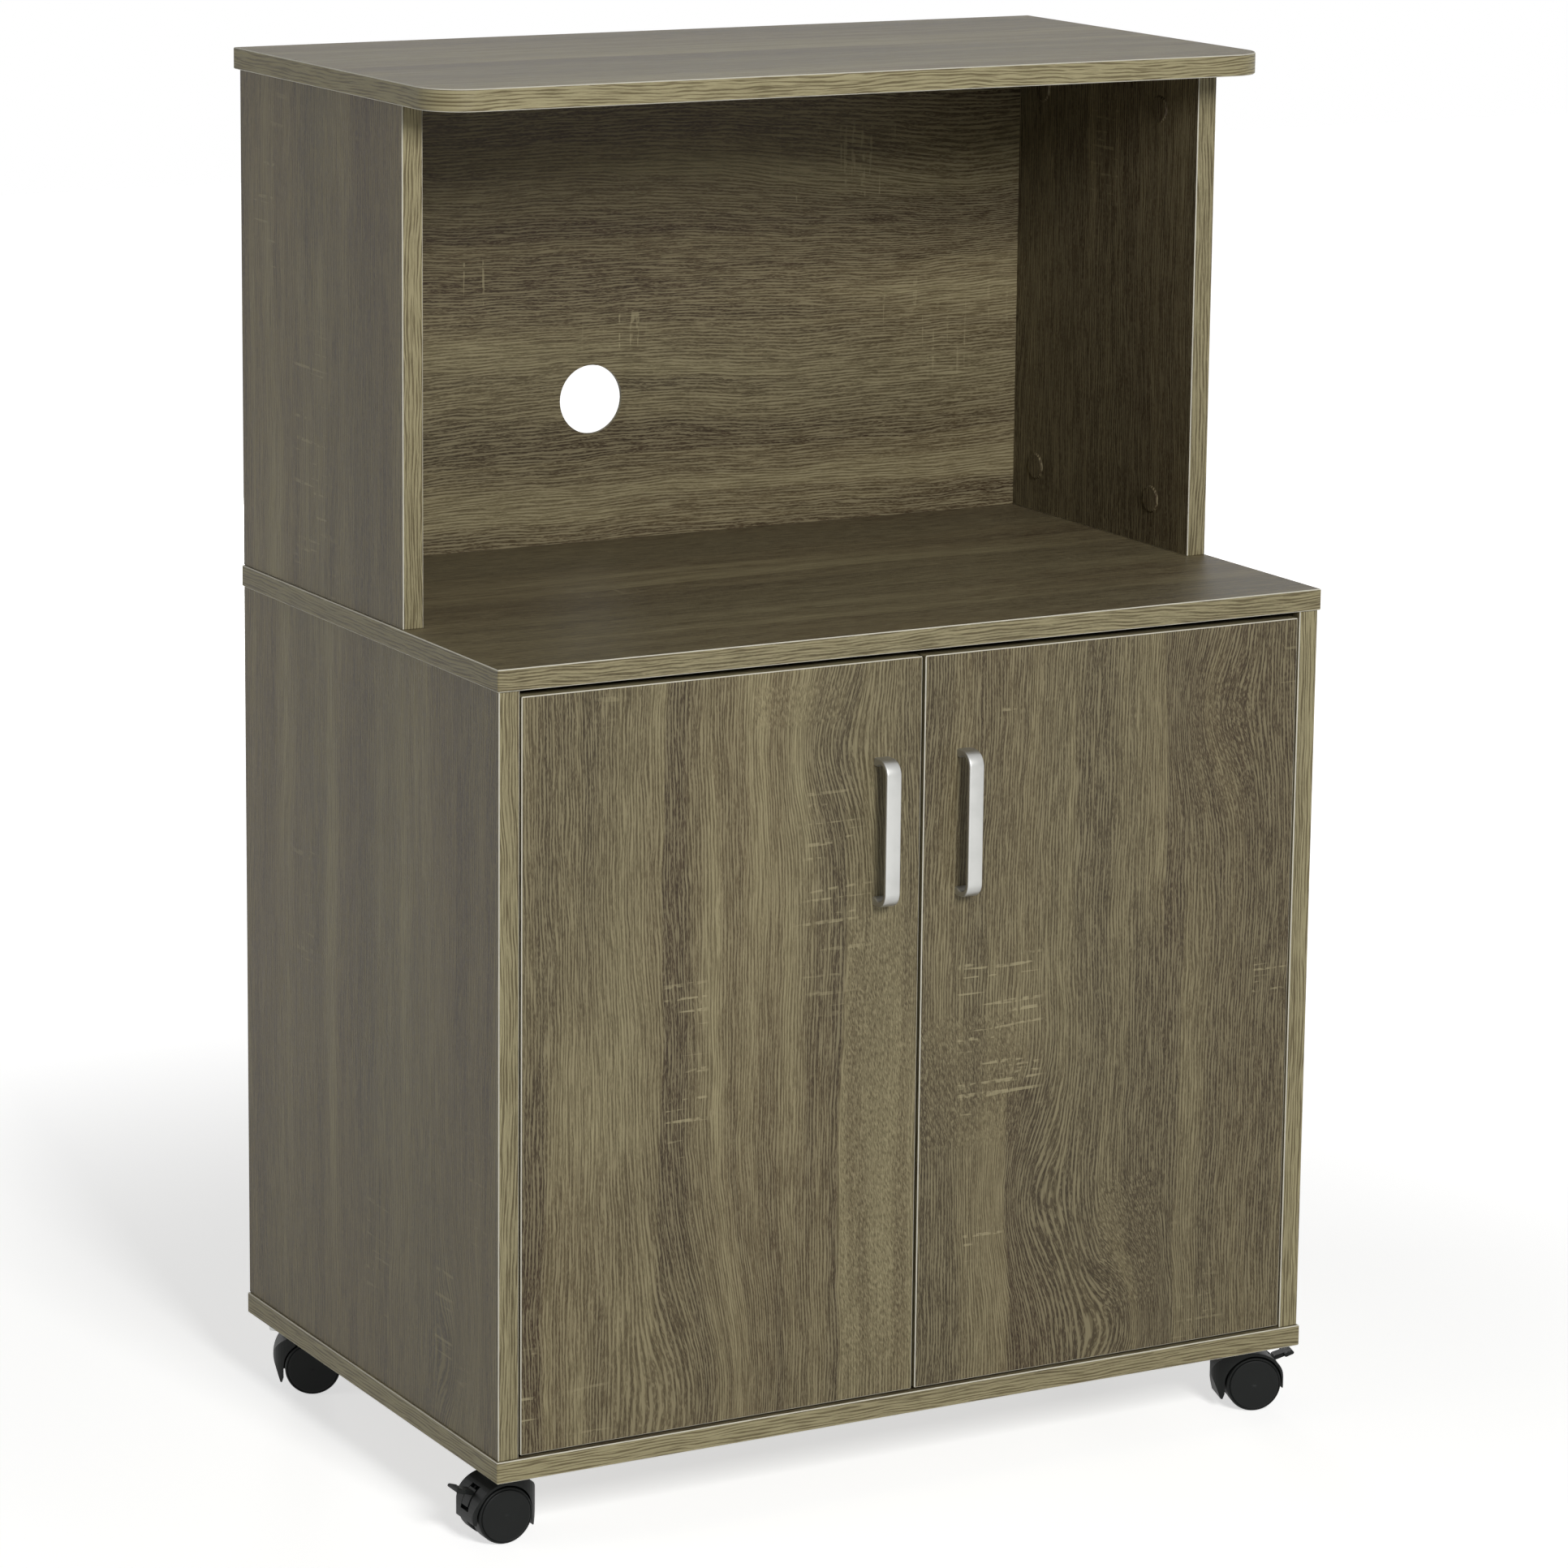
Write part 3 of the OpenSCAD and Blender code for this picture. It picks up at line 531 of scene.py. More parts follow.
@dataclass(frozen=True)
class Oak:
    """The printed grey-brown oak of the boards and their edge bands."""

    dark: Colour = from_srgb(70, 56, 40)
    mid: Colour = from_srgb(108, 96, 71)
    light: Colour = from_srgb(150, 140, 107)
    green: Colour = from_srgb(100, 96, 74)
    fibre: Colour = from_srgb(180, 170, 135)
    pore: Colour = from_srgb(150, 140, 128)
    band: Colour = from_srgb(166, 158, 122)
    # the pale line on the arris faces: partly the edge band's pale edge, partly a painted highlight
    arris_line_and_highlight: Colour = from_srgb(226, 222, 206)
    green_share: float = 0.3
    band_share: float = 0.45
    fibre_share: float = 0.38
    pore_share: float = 0.56
    band_pore_share: float = 0.2
    tick_share: float = 0.5
    roughness: float = 0.4
    fibre_roughness: float = 0.1
    gloss: float = 0.2
    relief: float = 0.35
    relief_depth: float = 0.0002
    seed_along: float = 3.1
    seed_through: float = 0.37

    def make(self, board: Board) -> bpy.types.Material:
        """Makes one board's material.

        Args:
            board: the board, with its marks and bends.

        Returns:
            The material.
        """
        material, net, shader, coords = new_material("oak_" + board.node)
        across, along, depth = board.way.value
        space = GrainSpace().place(net, {
            "Position": coords.outputs["Object"], "Normal": coords.outputs["Normal"],
            "Across": across, "Along": along, "Depth": depth}).outputs
        plain = Sway().place(net, {"U": space["U"], "V": space["V"], "W": board.seed}).outputs["U"]
        sums = {kind: 0.0 for kind in Kind}
        for mark in board.marks:
            mask = Patch().place(net, {
                "U": plain, "V": space["V"], "Firm Side": mark.firm, "Far Side": mark.far, "Low": mark.low,
                "High": mark.high, "Lean": mark.lean, "Fade": mark.kind.value}).outputs["Mask"]
            sums[mark.kind] = net.math("MULTIPLY_ADD", mask, mark.strength, c=sums[mark.kind])
        face = net.math("SUBTRACT", 1.0, space["Band"])
        bent = plain
        for bend in board.bends:
            bent = Swell().place(net, {
                "U": bent, "V": space["V"], "Line": bend.line, "Height": bend.height, "Width": bend.width,
                "Reach": bend.reach, "Push": bend.push}).outputs["U"]
        wood = PrintedOak().place(net, {
            "U": net.math("ADD", bent, board.seed), "V": net.math("ADD", space["V"], self.seed_along * board.seed),
            "W": net.math("ADD", space["W"], self.seed_through * board.seed), "Band": space["Band"],
            # the streak marks, some of them painted shade
            "Streaks": net.math("MULTIPLY", sums[Kind.STREAK_AND_SHADE], face),
            "Crinkle": net.math("MULTIPLY", sums[Kind.CRINKLE], face, clamp=True),
            "Ticks": sums[Kind.TICKS]}).outputs
        # the board's shade, partly a darker print and partly painted shade, lowers its tone
        tone = net.math("SUBTRACT", wood["Tone"], board.shade) if board.shade else wood["Tone"]
        colour = net.ramp(tone, [(0.0, self.dark), (0.5, self.mid), (1.0, self.light)])
        colour = net.tint(net.math("MULTIPLY", wood["Hue"], self.green_share), colour, self.green)
        colour = net.tint(net.math("MULTIPLY", space["Band"], self.band_share), colour, self.band)
        colour = net.tint(net.math("MULTIPLY", wood["Fibre"], self.fibre_share), colour, self.fibre)
        deep = net.math("MULTIPLY_ADD", space["Band"], self.band_pore_share, c=self.pore_share)
        colour = net.tint(net.math("MULTIPLY", wood["Pore"], deep), colour, self.pore, "MULTIPLY")
        colour = net.tint(net.math("MULTIPLY", wood["Tick"], self.tick_share), colour, self.fibre)
        # paint the pale arris line, partly the band's pale edge and partly a painted highlight
        if board.pale_arris_highlight:
            colour = net.tint(space["Arris"], colour, self.arris_line_and_highlight)
        rough = net.blend(wood["Fibre"], self.roughness, self.roughness + self.fibre_roughness)
        bump = net.add("Bump", {"Strength": self.relief, "Distance": self.relief_depth, "Height": wood["Height"]})
        shader.inputs["Specular IOR Level"].default_value = self.gloss
        net.tree.links.new(colour, shader.inputs["Base Color"])
        net.tree.links.new(rough, shader.inputs["Roughness"])
        net.tree.links.new(bump.outputs[0], shader.inputs["Normal"])
        return material


@dataclass(frozen=True)
class Plated:
    """A dull plated metal, clouded by a stain."""

    name: str
    colour: Colour
    stain: Colour
    roughness: float
    cloud_step: tuple[float, float] = (0.35, 0.7)
    stain_share: float = 0.5
    smoother: float = 0.05
    rougher: float = 0.08
    relief: float = 0.1
    relief_depth: float = 0.0001

    def make(self) -> bpy.types.Material:
        """Makes the material.

        Returns:
            The material.
        """
        material, net, shader, coords = new_material(self.name)
        grit = FineGrit().place(net, {"Position": coords.outputs["Object"]})
        cloud = net.step(grit.outputs["Cloud"], *self.cloud_step)
        colour = net.tint(net.math("MULTIPLY", cloud, self.stain_share), self.colour, self.stain)
        rough = net.blend(grit.outputs["Speckle"], self.roughness - self.smoother, self.roughness + self.rougher)
        bump = net.add("Bump", {"Strength": self.relief, "Distance": self.relief_depth,
                                "Height": grit.outputs["Speckle"]})
        shader.inputs["Metallic"].default_value = 1.0
        net.tree.links.new(colour, shader.inputs["Base Color"])
        net.tree.links.new(rough, shader.inputs["Roughness"])
        net.tree.links.new(bump.outputs[0], shader.inputs["Normal"])
        return material


@dataclass(frozen=True)
class Moulded:
    """A moulded plastic with a faint grain, worn patches and soft edges."""

    name: str
    colour: Colour
    worn: Colour
    roughness: float
    ease: float = 0.0005
    ease_samples: int = 6
    gloss: float = 0.2
    grain: float = 1900.0
    blotch: float = 55.0
    cloud_step: tuple[float, float] = (0.45, 0.75)
    worn_share: float = 0.4
    smoother: float = 0.08
    rougher: float = 0.1
    relief: float = 0.25
    relief_depth: float = 0.0001

    def make(self) -> bpy.types.Material:
        """Makes the material.

        Returns:
            The material.
        """
        material, net, shader, coords = new_material(self.name)
        grit = FineGrit().place(net, {"Position": coords.outputs["Object"], "Grain": self.grain,
                                      "Blotch": self.blotch})
        cloud = net.step(grit.outputs["Cloud"], *self.cloud_step)
        colour = net.tint(net.math("MULTIPLY", cloud, self.worn_share), self.colour, self.worn)
        rough = net.blend(grit.outputs["Speckle"], self.roughness - self.smoother, self.roughness + self.rougher)
        shader.inputs["Specular IOR Level"].default_value = self.gloss
        eased = net.add("Bevel", {"Radius": self.ease}, samples=self.ease_samples)
        bump = net.add("Bump", {"Strength": self.relief, "Distance": self.relief_depth,
                                "Height": grit.outputs["Speckle"], "Normal": eased.outputs["Normal"]})
        net.tree.links.new(colour, shader.inputs["Base Color"])
        net.tree.links.new(rough, shader.inputs["Roughness"])
        net.tree.links.new(bump.outputs[0], shader.inputs["Normal"])
        return material


def dress(node: str, material: bpy.types.Material) -> None:
    """Gives a CAD node a material on all its slots.

    Args:
        node: the node's name.
        material: what it wears.
    """
    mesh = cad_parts[node].data
    mesh.materials.clear()
    mesh.materials.append(material)
    log.info("%s wears %s", node, material.name)


@dataclass
class Woodwork:
    """Every board: hutch, worktop, cabinet, shelf, backs and doors."""

    oak: Oak
    # a board's node, way, seed, marks and bends; a mark's kind, firm, far, low, high, strength and lean; a
    # bend's line, height, width, reach and push
    # the shade on the hutch's right side, its back, the right door and the worktop is partly painted shade
    boards: tuple[Board, ...] = (
        Board("top_panel", Way.FLAT, 3.1, (Mark(Kind.STREAK_AND_SHADE, 0.05, -0.01, -0.32, 0.1, -0.45),)),
        Board("upper_side_left", Way.SIDE, 7.3, (
            Mark(Kind.STREAK_AND_SHADE, 0.073, 0.135, 0.6, 0.84, 0.45),
            Mark(Kind.STREAK_AND_SHADE, 0.073, 0.04, 0.6, 0.9, -0.18),
            Mark(Kind.TICKS, 0.07, 0.13, 0.62, 0.78, 0.9),
            Mark(Kind.TICKS, 0.15, 0.19, 0.82, 0.9, 0.8),
        ), shade=0.1),
        Board("upper_side_right", Way.SIDE, 11.9, (Mark(Kind.TICKS, 0.05, 0.09, 0.85, 0.93, 0.5),), shade=0.4),
        Board("upper_back_panel", Way.BACK, 1.7, (
            # a painted shadow: the top of the back panel is darkened where the top panel shades it
            Mark(Kind.STREAK_AND_SHADE, 1.0, 0.89, -0.36, 0.36, -1.1),
            Mark(Kind.STREAK_AND_SHADE, 0.665, 0.6, -0.32, 0.32, 0.45, 0.01),
            Mark(Kind.TICKS, 0.77, 0.82, -0.16, -0.12, 0.9),
            Mark(Kind.TICKS, 0.74, 0.77, -0.06, -0.01, 0.8),
            Mark(Kind.TICKS, 0.84, 0.9, 0.1, 0.2, 0.7),
        ), (Bend(0.85, 0.25, 0.05, 0.16, 0.03),), shade=0.3),
        Board("worktop", Way.FLAT, 5.2, (
            # painted shade: the worktop is darker towards the back, where the hutch stands over it
            Mark(Kind.STREAK_AND_SHADE, 0.22, 0.02, -0.4, 0.4, -0.6),
            Mark(Kind.STREAK_AND_SHADE, 0.02, 0.05, -0.32, 0.32, 0.3),
            Mark(Kind.STREAK_AND_SHADE, -0.08, -0.03, -0.32, 0.32, -0.3),
            Mark(Kind.STREAK_AND_SHADE, -0.13, -0.1, -0.32, 0.32, 0.25),
        ), shade=0.2),
        Board("lower_side_left", Way.SIDE, 2.6, (
            Mark(Kind.TICKS, 0.095, 0.13, 0.33, 0.43, 0.6),
            Mark(Kind.TICKS, 0.01, -0.03, 0.11, 0.2, 0.6),
            Mark(Kind.TICKS, -0.1, -0.13, 0.1, 0.18, 0.8),
            Mark(Kind.STREAK_AND_SHADE, -0.13, -0.17, 0.1, 0.5, -0.22),
        ), (Bend(-0.13, 0.12, 0.025, 0.06, 0.025),), shade=0.08),
        Board("cam_caps", Way.SIDE, 13.3, shade=0.4, pale_arris_highlight=False),
        Board("lower_side_right", Way.SIDE, 9.4),
        Board("lower_back_panel", Way.BACK, 4.4),
        Board("bottom_panel", Way.FLAT, 8.1),
        Board("shelf", Way.FLAT, 6.7),
        Board("door_left", Way.DOOR, 2.3, (
            # painted shade: the door is darker towards the bottom, where less light falls
            Mark(Kind.STREAK_AND_SHADE, -0.34, 0.04, -0.05, 0.26, -0.26),
            Mark(Kind.STREAK_AND_SHADE, -0.206, -0.172, 0.2, 0.62, -0.63, 0.042),
            Mark(Kind.STREAK_AND_SHADE, -0.206, -0.25, 0.1, 0.6, 0.3, 0.042),
            Mark(Kind.STREAK_AND_SHADE, -0.0586, -0.098, 0.04, 0.52, -0.6),
            Mark(Kind.STREAK_AND_SHADE, -0.0586, -0.03, 0.04, 0.42, 0.15),
            Mark(Kind.STREAK_AND_SHADE, -0.2865, -0.31, 0.04, 0.33, -0.45),
            Mark(Kind.STREAK_AND_SHADE, -0.2865, -0.22, 0.04, 0.36, 0.33),
            Mark(Kind.CRINKLE, -0.0586, 0.001, 0.085, 0.41, 0.8),
            Mark(Kind.CRINKLE, -0.13, -0.05, 0.545, 0.575, 0.7),
            Mark(Kind.TICKS, -0.09, -0.05, 0.39, 0.5, 0.8),
            Mark(Kind.TICKS, -0.198, -0.162, 0.26, 0.38),
            Mark(Kind.TICKS, -0.302, -0.285, 0.08, 0.14),
        ), (
            Bend(-0.075, 0.53, 0.032, 0.05, 0.018),
            Bend(-0.17, 0.085, 0.045, 0.1, -0.034),
        )),
        Board("door_right", Way.DOOR, 4.9, (
            # painted shade: the door is darker towards the bottom, where less light falls
            Mark(Kind.STREAK_AND_SHADE, -0.05, 0.34, -0.05, 0.3, -0.16),
            Mark(Kind.STREAK_AND_SHADE, 0.2119, 0.165, 0.05, 0.4, -0.6),
            Mark(Kind.STREAK_AND_SHADE, 0.2119, 0.25, 0.05, 0.42, 0.33),
            Mark(Kind.STREAK_AND_SHADE, 0.199, 0.165, 0.36, 0.62, 0.52, -0.02),
            Mark(Kind.STREAK_AND_SHADE, 0.199, 0.222, 0.36, 0.62, -0.45, -0.02),
            Mark(Kind.STREAK_AND_SHADE, 0.073, 0.02, 0.05, 0.26, 0.48),
            Mark(Kind.STREAK_AND_SHADE, 0.073, 0.12, 0.05, 0.28, -0.45),
            Mark(Kind.STREAK_AND_SHADE, 0.272, 0.31, 0.1, 0.56, -0.33),
            Mark(Kind.CRINKLE, 0.0, 0.095, 0.235, 0.33, 0.8),
            Mark(Kind.CRINKLE, 0.15, 0.205, 0.1, 0.2, 0.8),
            Mark(Kind.CRINKLE, 0.215, 0.275, 0.45, 0.56, 0.5),
            Mark(Kind.TICKS, 0.033, 0.104, 0.25, 0.385),
            Mark(Kind.TICKS, 0.055, 0.105, 0.53, 0.55, 0.8),
            Mark(Kind.TICKS, 0.038, 0.073, 0.135, 0.18, 0.9),
            Mark(Kind.TICKS, 0.27, 0.3, 0.31, 0.345, 0.9),
        ), (
            Bend(0.09, 0.19, 0.03, 0.07, 0.024),
            Bend(0.235, 0.525, 0.034, 0.05, 0.018),
            Bend(0.17, 0.09, 0.035, 0.06, -0.03),
        ), shade=0.4),
    )

    def build(self) -> None:
        """Dresses every board."""
        for board in self.boards:
            dress(board.node, self.oak.make(board))


SHARP_ANGLE = math.radians(38)


def new_piece(name: str, shape: bmesh.types.BMesh, material: bpy.types.Material, body: str,
              node: str) -> bpy.types.Object:
    """Makes a smooth-shaded piece that stands for a CAD node.

    Args:
        name: the piece's name.
        shape: its mesh; it is freed.
        material: what it wears.
        body: the CAD body it rides on.
        node: the CAD node it stands for.

    Returns:
        The piece.
    """
    bmesh.ops.recalc_face_normals(shape, faces=shape.faces)
    mesh = bpy.data.meshes.new(name)
    shape.to_mesh(mesh)
    shape.free()
    mesh.polygons.foreach_set("use_smooth", [True] * len(mesh.polygons))
    mesh.set_sharp_from_angle(angle=SHARP_ANGLE)
    mesh.materials.append(material)
    piece = bpy.data.objects.new(name, mesh)
    bpy.context.scene.collection.objects.link(piece)
    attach(piece, body)
    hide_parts(node)
    log.info("%s stands for %s on %s", name, node, body)
    return piece


def skin(shape: bmesh.types.BMesh, rings: list[list[Vector]]) -> None:
    """Adds a closed tube through rings of points, with a face at each end.

    Args:
        shape: the mesh it goes into.
        rings: loops of as many points each.
    """
    loops = [[shape.verts.new(point) for point in ring] for ring in rings]
    count = len(loops[0])
    for one, two in zip(loops, loops[1:]):
        for k in range(count):
            shape.faces.new((one[k], one[(k + 1) % count], two[(k + 1) % count], two[k]))
    shape.faces.new(loops[0])
    shape.faces.new(loops[-1])


SAME_POINT = 1e-6


def solids(node: str) -> list[tuple[Vector, Vector]]:
    """Finds the boxes of the separate solids of a CAD node.

    Args:
        node: the node's name.

    Returns:
        The lowest and the highest corner of each solid.
    """
    shape = bmesh.new()
    shape.from_mesh(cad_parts[node].data)
    bmesh.ops.remove_doubles(shape, verts=shape.verts, dist=SAME_POINT)
    left = set(shape.verts)
    boxes = []
    while left:
        front = [left.pop()]
        corners = []
        while front:
            vert = front.pop()
            corners.append(vert.co.copy())
            for edge in vert.link_edges:
                other = edge.other_vert(vert)
                if other in left:
                    left.remove(other)
                    front.append(other)
        boxes.append((Vector(min(c[i] for c in corners) for i in range(3)),
                      Vector(max(c[i] for c in corners) for i in range(3))))
    shape.free()
    return sorted(boxes, key=lambda pair: tuple(pair[0]))


@dataclass
class Handles:
    """Bow handles: a flat strap with eased edges that bends back to the door and ends in a thicker foot.

    Each leg keeps its foot's thickness over foot_long, and is down to neck_thick at neck from the door.
    """

    satin: bpy.types.Material
    width: float = 0.0114
    thick: float = 0.0036
    foot_thick: float = 0.0056
    foot_long: float = 0.003
    neck_thick: float = 0.0042
    neck: float = 0.0055
    bend: float = 0.0105
    ease: float = 0.0011
    arc_steps: int = 10
    ease_steps: int = 4

    def outline(self, thick: float) -> list[tuple[float, float]]:
        """Draws the strap's cross-section, with a quarter circle at each corner.

        Args:
            thick: the strap's thickness there.

        Returns:
            Its points as (across, depth from the outer face).
        """
        half, ease = self.width / 2, self.ease
        points = []
        for cx, cz, start in ((half - ease, thick - ease, 0), (ease - half, thick - ease, 90),
                              (ease - half, ease, 180), (half - ease, ease, 270)):
            for k in range(self.ease_steps + 1):
                turn = math.radians(start + 90 * k / self.ease_steps)
                points.append((cx + ease * math.cos(turn), cz + ease * math.sin(turn)))
        return points

    def line(self, low: Vector, high: Vector) -> list[tuple[float, float, float, float]]:
        """Draws the outer face's line, from the lower to the upper foot.

        Args:
            low, high: the lowest and the highest corner of the handle; its feet are on the door at high.y.

        Returns:
            Its points as (y, z, turn of the inward normal, thickness).
        """
        door, out, bend = high.y, low.y, self.bend
        line = [(door, low.z, 0.0, self.foot_thick), (door - self.foot_long, low.z, 0.0, self.foot_thick),
                (door - self.neck, low.z, 0.0, self.neck_thick)]
        for k in range(self.arc_steps + 1):
            turn = math.radians(90 * k / self.arc_steps)
            y, z = out + bend - bend * math.sin(turn), low.z + bend - bend * math.cos(turn)
            line.append((y, z, turn, self.thick))
        middle = (low.z + high.z) / 2
        return line + [(y, 2 * middle - z, math.pi - turn, thick) for y, z, turn, thick in reversed(line)]

    def build(self) -> None:
        """Makes the two straps."""
        for side in ("left", "right"):
            low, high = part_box("handle_" + side)
            centre = (low.x + high.x) / 2
            shape = bmesh.new()
            skin(shape, [[Vector((centre + across, y + depth * math.sin(turn), z + depth * math.cos(turn)))
                          for across, depth in self.outline(thick)]
                         for y, z, turn, thick in self.line(low, high)])
            new_piece("strap_" + side, shape, self.satin, "door_" + side, "handle_" + side)


@dataclass(frozen=True)
class Screws:
    """The screws of one CAD node: their body, the way their heads point and how tall these are."""

    node: str
    body: str
    heads: Point
    tall: float


@dataclass
class CrossScrews:
    """Screws with a domed head and a cross recess, where the CAD has plain ones.

    The shank is its radius in metres. The rings and the cross are shares of a head's radius, and the crown
    and the recess are shares of its height.
    """

    zinc: bpy.types.Material
    kinds: tuple[Screws, ...] = (
        Screws("caster_screws", "cabinet", (0, 0, -1), 0.0014),
        Screws("handle_screws_left", "door_left", (0, 1, 0), 0.0024),
        Screws("handle_screws_right", "door_right", (0, 1, 0), 0.0024),
    )
    shank: float = 0.0019
    spots: int = 48
    rings: tuple[float, ...] = (0.1, 0.19, 0.28, 0.37, 0.46, 0.55, 0.64, 0.74, 0.84, 0.92, 0.97, 1.0)
    crown: float = 0.25
    shoulder: float = 0.8
    recess: float = 0.8
    arm_wide: float = 0.15
    arm_long: float = 0.58
    flank: float = 0.06
    arm_end: float = 0.08

    def arm(self, side: float, along: float) -> float:
        """How deep one bar of the cross is at a place, where 1 is its floor and less than 0 is outside it."""
        return min((self.arm_wide - abs(side)) / self.flank, (self.arm_long - abs(along)) / self.arm_end)

    def rise(self, x: float, y: float) -> float:
        """Finds the head's height at a place.

        Args:
            x, y: the place, where 1 is the rim's distance.

        Returns:
            The height, where 1 is the top's height.
        """
        away = math.hypot(x, y)
        rim = max(0.0, (away - self.shoulder) / (1.0 - self.shoulder))
        dome = 1.0 - self.crown * away ** 2 - (1.0 - self.crown) * rim ** 2
        return dome - self.recess * min(1.0, max(0.0, self.arm(x, y), self.arm(y, x)))

    def screw(self, shape: bmesh.types.BMesh, place: Matrix, radius: float, tall: float, deep: float) -> None:
        """Adds one screw.

        Args:
            shape: the mesh it goes into.
            place: where the middle of its head's foot is, with +Z the way its head points.
            radius: its head's radius.
            tall: its head's height.
            deep: how far its shank goes in.
        """
        turns = [math.tau * k / self.spots for k in range(self.spots)]
        head = [[(r * math.cos(a), r * math.sin(a)) for a in turns] for r in self.rings]
        rings = [[place @ Vector((x * radius, y * radius, max(0.0, self.rise(x, y)) * tall)) for x, y in ring]
                 for ring in head]
        for r, z in ((self.shank, 0.0), (self.shank, self.shank - deep), (self.shank / 2, -deep)):
            rings.append([place @ Vector((r * math.cos(a), r * math.sin(a), z)) for a in turns])
        skin(shape, rings)

    def build(self) -> None:
        """Makes the caster screws and the handles' screws."""
        for kind in self.kinds:
            shape = bmesh.new()
            axis = Vector(kind.heads)
            turn = axis.to_track_quat("Z", "Y").to_matrix().to_4x4()
            for low, high in solids(kind.node):
                middle = (low + high) / 2
                deep = abs((high - low).dot(axis)) - kind.tall
                top = max(low.dot(axis), high.dot(axis))
                foot = middle + axis * (top - kind.tall - middle.dot(axis))
                self.screw(shape, Matrix.Translation(foot) @ turn, (high.x - low.x) / 2, kind.tall, deep)
            new_piece(kind.node + "_cross", shape, self.zinc, kind.body, kind.node)


@dataclass
class Fittings:
    """Hinges, cams, shelf pins and casters, which keep their CAD solids."""

    zinc: bpy.types.Material
    steel: bpy.types.Material
    black: bpy.types.Material
    tread: bpy.types.Material

    def build(self) -> None:
        """Dresses each node by the start of its name."""
        kinds = {
            "hinge_": self.steel, "cam_bolts": self.zinc, "cam_locks": self.zinc, "shelf_pins": self.zinc,
            "caster_plate": self.zinc, "caster_axle": self.steel, "caster_hood": self.black,
            "wheel_": self.tread, "brake_": self.black,
        }
        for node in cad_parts:
            for start, material in kinds.items():
                if node.startswith(start):
                    dress(node, material)
                    break


@dataclass(frozen=True)
class Lamp:
    """A square lamp: its place, what it is aimed at, its side in metres and its power in watts."""

    name: str
    place: Point
    target: Point
    side: float
    power: float


@dataclass
class Studio:
    """A plain white room with a pale floor and soft lamps.

    Close to the cart the floor glows at near_glow, and it rises to the room's white over the distances in
    clear, in metres from the middle. The fill is the world's own light on the cart.
    """

    lamps: tuple[Lamp, ...] = (
        Lamp("front", (-0.4, -3.7, 2.4), (0.0, 0.0, 0.5), 1.1, 116.0),
        Lamp("left", (-3.2, 0.9, 1.5), (-0.3, 0.0, 0.5), 1.6, 11.0),
        Lamp("rear", (1.3, 3.6, 0.4), (0.0, 0.2, 0.5), 0.6, 24.0),
    )
    fill: float = 0.03
    floor_side: float = 14.0
    floor_colour: Colour = from_srgb(235, 235, 233)
    floor_roughness: float = 0.9
    near_glow: float = 0.62
    clear: tuple[float, float] = (0.5, 1.5)

    def build(self) -> None:
        """Makes the floor, the lamps and the world."""
        self.floor()
        self.world()
        for lamp in self.lamps:
            light = bpy.data.lights.new(lamp.name, "AREA")
            light.shape = "SQUARE"
            light.size = lamp.side
            light.energy = lamp.power
            holder = bpy.data.objects.new(lamp.name, light)
            bpy.context.scene.collection.objects.link(holder)
            holder.location = lamp.place
            aim = Vector(lamp.target) - Vector(lamp.place)
            holder.rotation_euler = aim.to_track_quat("-Z", "Y").to_euler()

    def floor(self) -> None:
        """Makes the pale floor, which keeps the object's shadow."""
        mesh = bpy.data.meshes.new("floor")
        half = self.floor_side / 2
        corners = [(-half, -half, 0), (half, -half, 0), (half, half, 0), (-half, half, 0)]
        mesh.from_pydata(corners, [], [(0, 1, 2, 3)])
        floor = bpy.data.objects.new("floor", mesh)
        bpy.context.scene.collection.objects.link(floor)
        material, net, shader, coords = new_material("floor_white")
        shader.inputs["Base Color"].default_value = self.floor_colour
        shader.inputs["Roughness"].default_value = self.floor_roughness
        shader.inputs["Emission Color"].default_value = (1, 1, 1, 1)
        rays = net.add("LightPath")
        seen = net.math("ADD", rays.outputs["Is Camera Ray"], rays.outputs["Is Glossy Ray"])
        seen = net.math("ADD", seen, rays.outputs["Is Transmission Ray"], clamp=True)
        away = net.vector("LENGTH", coords.outputs["Object"]).outputs["Value"]
        glow = net.blend(net.step(away, *self.clear), self.near_glow, 1.0)
        net.tree.links.new(net.math("MULTIPLY", seen, glow), shader.inputs["Emission Strength"])
        mesh.materials.append(material)

    def world(self) -> None:
        """Makes a world that is white to the camera and in reflections, and an even fill elsewhere."""
        world = bpy.data.worlds.new("white_room")
        bpy.context.scene.world = world
        world.use_nodes = True
        net = Net(world.node_tree)
        sky = world.node_tree.nodes["Background"]
        sky.inputs["Color"].default_value = (1, 1, 1, 1)
        rays = net.add("LightPath")
        seen = net.math("ADD", rays.outputs["Is Camera Ray"], rays.outputs["Is Transmission Ray"])
        seen = net.math("ADD", seen, rays.outputs["Is Glossy Ray"], clamp=True)
        net.tree.links.new(net.blend(seen, self.fill, 1.0), sky.inputs["Strength"])


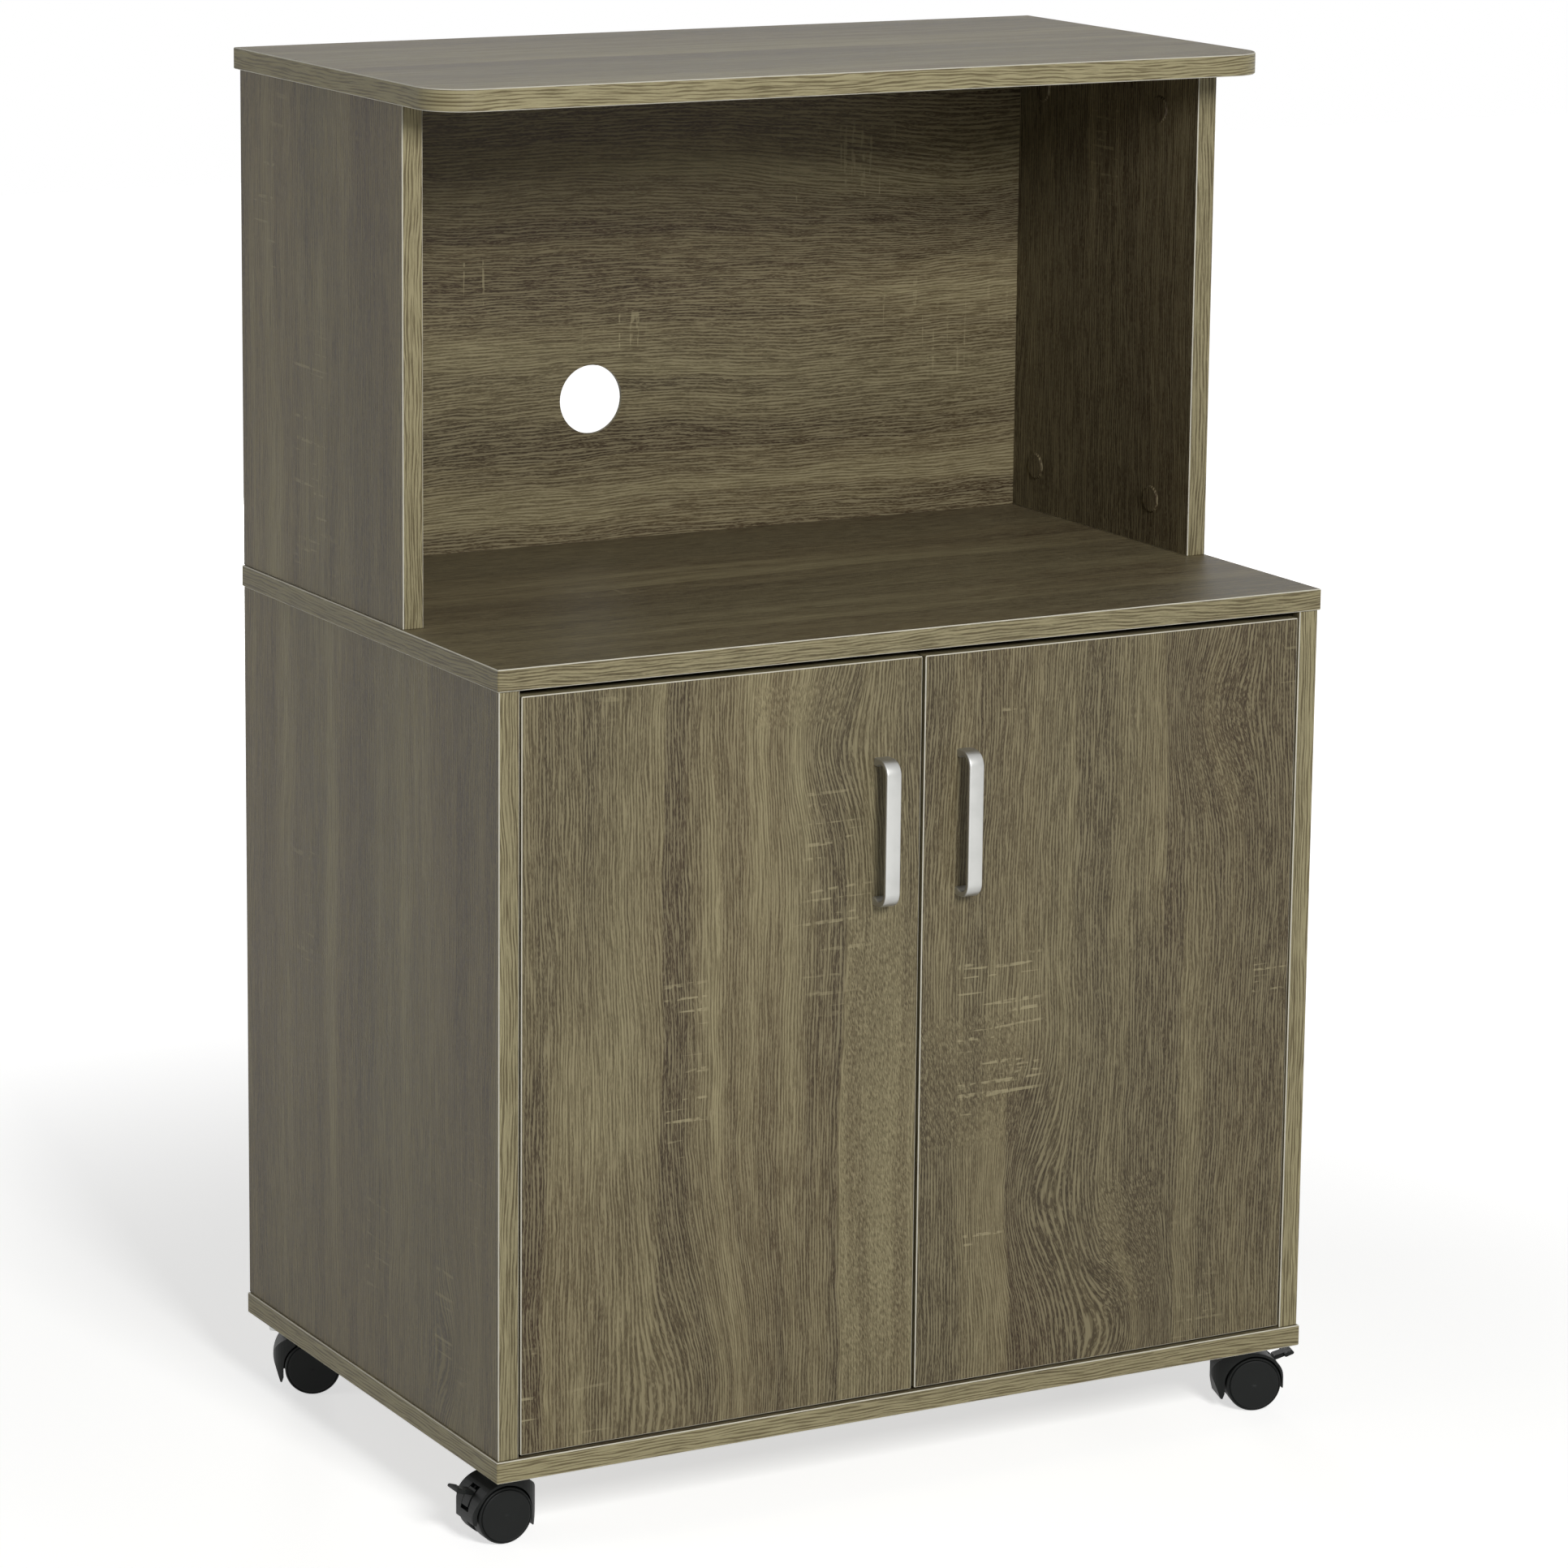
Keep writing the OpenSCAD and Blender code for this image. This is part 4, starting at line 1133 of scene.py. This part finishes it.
@dataclass(frozen=True)
class Viewpoint:
    """The camera of the photograph: place in metres, heading, tilt and roll in degrees, and lens.

    The focal length and the shift are shares of the sensor's width, which is in millimetres.
    """

    place: Point = (-1.88823, -3.38283, 1.33862)
    heading: float = 28.5616
    down: float = 11.238
    roll: float = -0.5115
    focal: float = 3.5857
    shift: tuple[float, float] = (0.0378, -0.0999)
    sensor: float = 36.0
    clip: tuple[float, float] = (0.05, 60.0)

    def build(self) -> None:
        """Makes the camera and gives it to the scene."""
        camera = bpy.data.cameras.new("camera")
        camera.sensor_width = self.sensor
        camera.lens = self.focal * self.sensor
        camera.shift_x, camera.shift_y = self.shift
        camera.clip_start, camera.clip_end = self.clip
        holder = bpy.data.objects.new("camera", camera)
        bpy.context.scene.collection.objects.link(holder)
        heading, down, roll = (math.radians(a) for a in (self.heading, self.down, self.roll))
        ahead = Vector((math.sin(heading) * math.cos(down), math.cos(heading) * math.cos(down), -math.sin(down)))
        level = Vector((math.cos(heading), -math.sin(heading), 0.0))
        lower = ahead.cross(level)
        right = level * math.cos(roll) + lower * math.sin(roll)
        below = lower * math.cos(roll) - level * math.sin(roll)
        turn = Matrix((right, -below, -ahead)).transposed().to_4x4()
        holder.matrix_world = Matrix.Translation(self.place) @ turn
        bpy.context.scene.camera = holder


def main() -> None:
    """Builds the scene, piece by piece."""
    logging.basicConfig(level=logging.INFO, format="%(name)s: %(message)s")
    oak = Oak()
    zinc = Plated("zinc", from_srgb(188, 190, 188), from_srgb(160, 162, 160), 0.34).make()
    satin = Plated("satin_handle", from_srgb(184, 184, 181), from_srgb(168, 168, 165), 0.4).make()
    parts = (
        Viewpoint(),
        Studio(),
        Woodwork(oak),
        Handles(satin),
        CrossScrews(zinc),
        Fittings(
            zinc=zinc,
            steel=Plated("nickel_steel", from_srgb(196, 194, 188), from_srgb(172, 170, 164), 0.28).make(),
            black=Moulded("hood_black", from_srgb(22, 24, 23), from_srgb(30, 32, 31), 0.45).make(),
            tread=Moulded("wheel_black", from_srgb(19, 21, 20), from_srgb(27, 29, 28), 0.5).make(),
        ),
    )
    for part in parts:
        part.build()
        log.info("%s is built", type(part).__name__)
    bpy.context.scene.view_settings.view_transform = "Standard"
    bpy.context.view_layer.update()


if __name__ == "__main__":
    main()
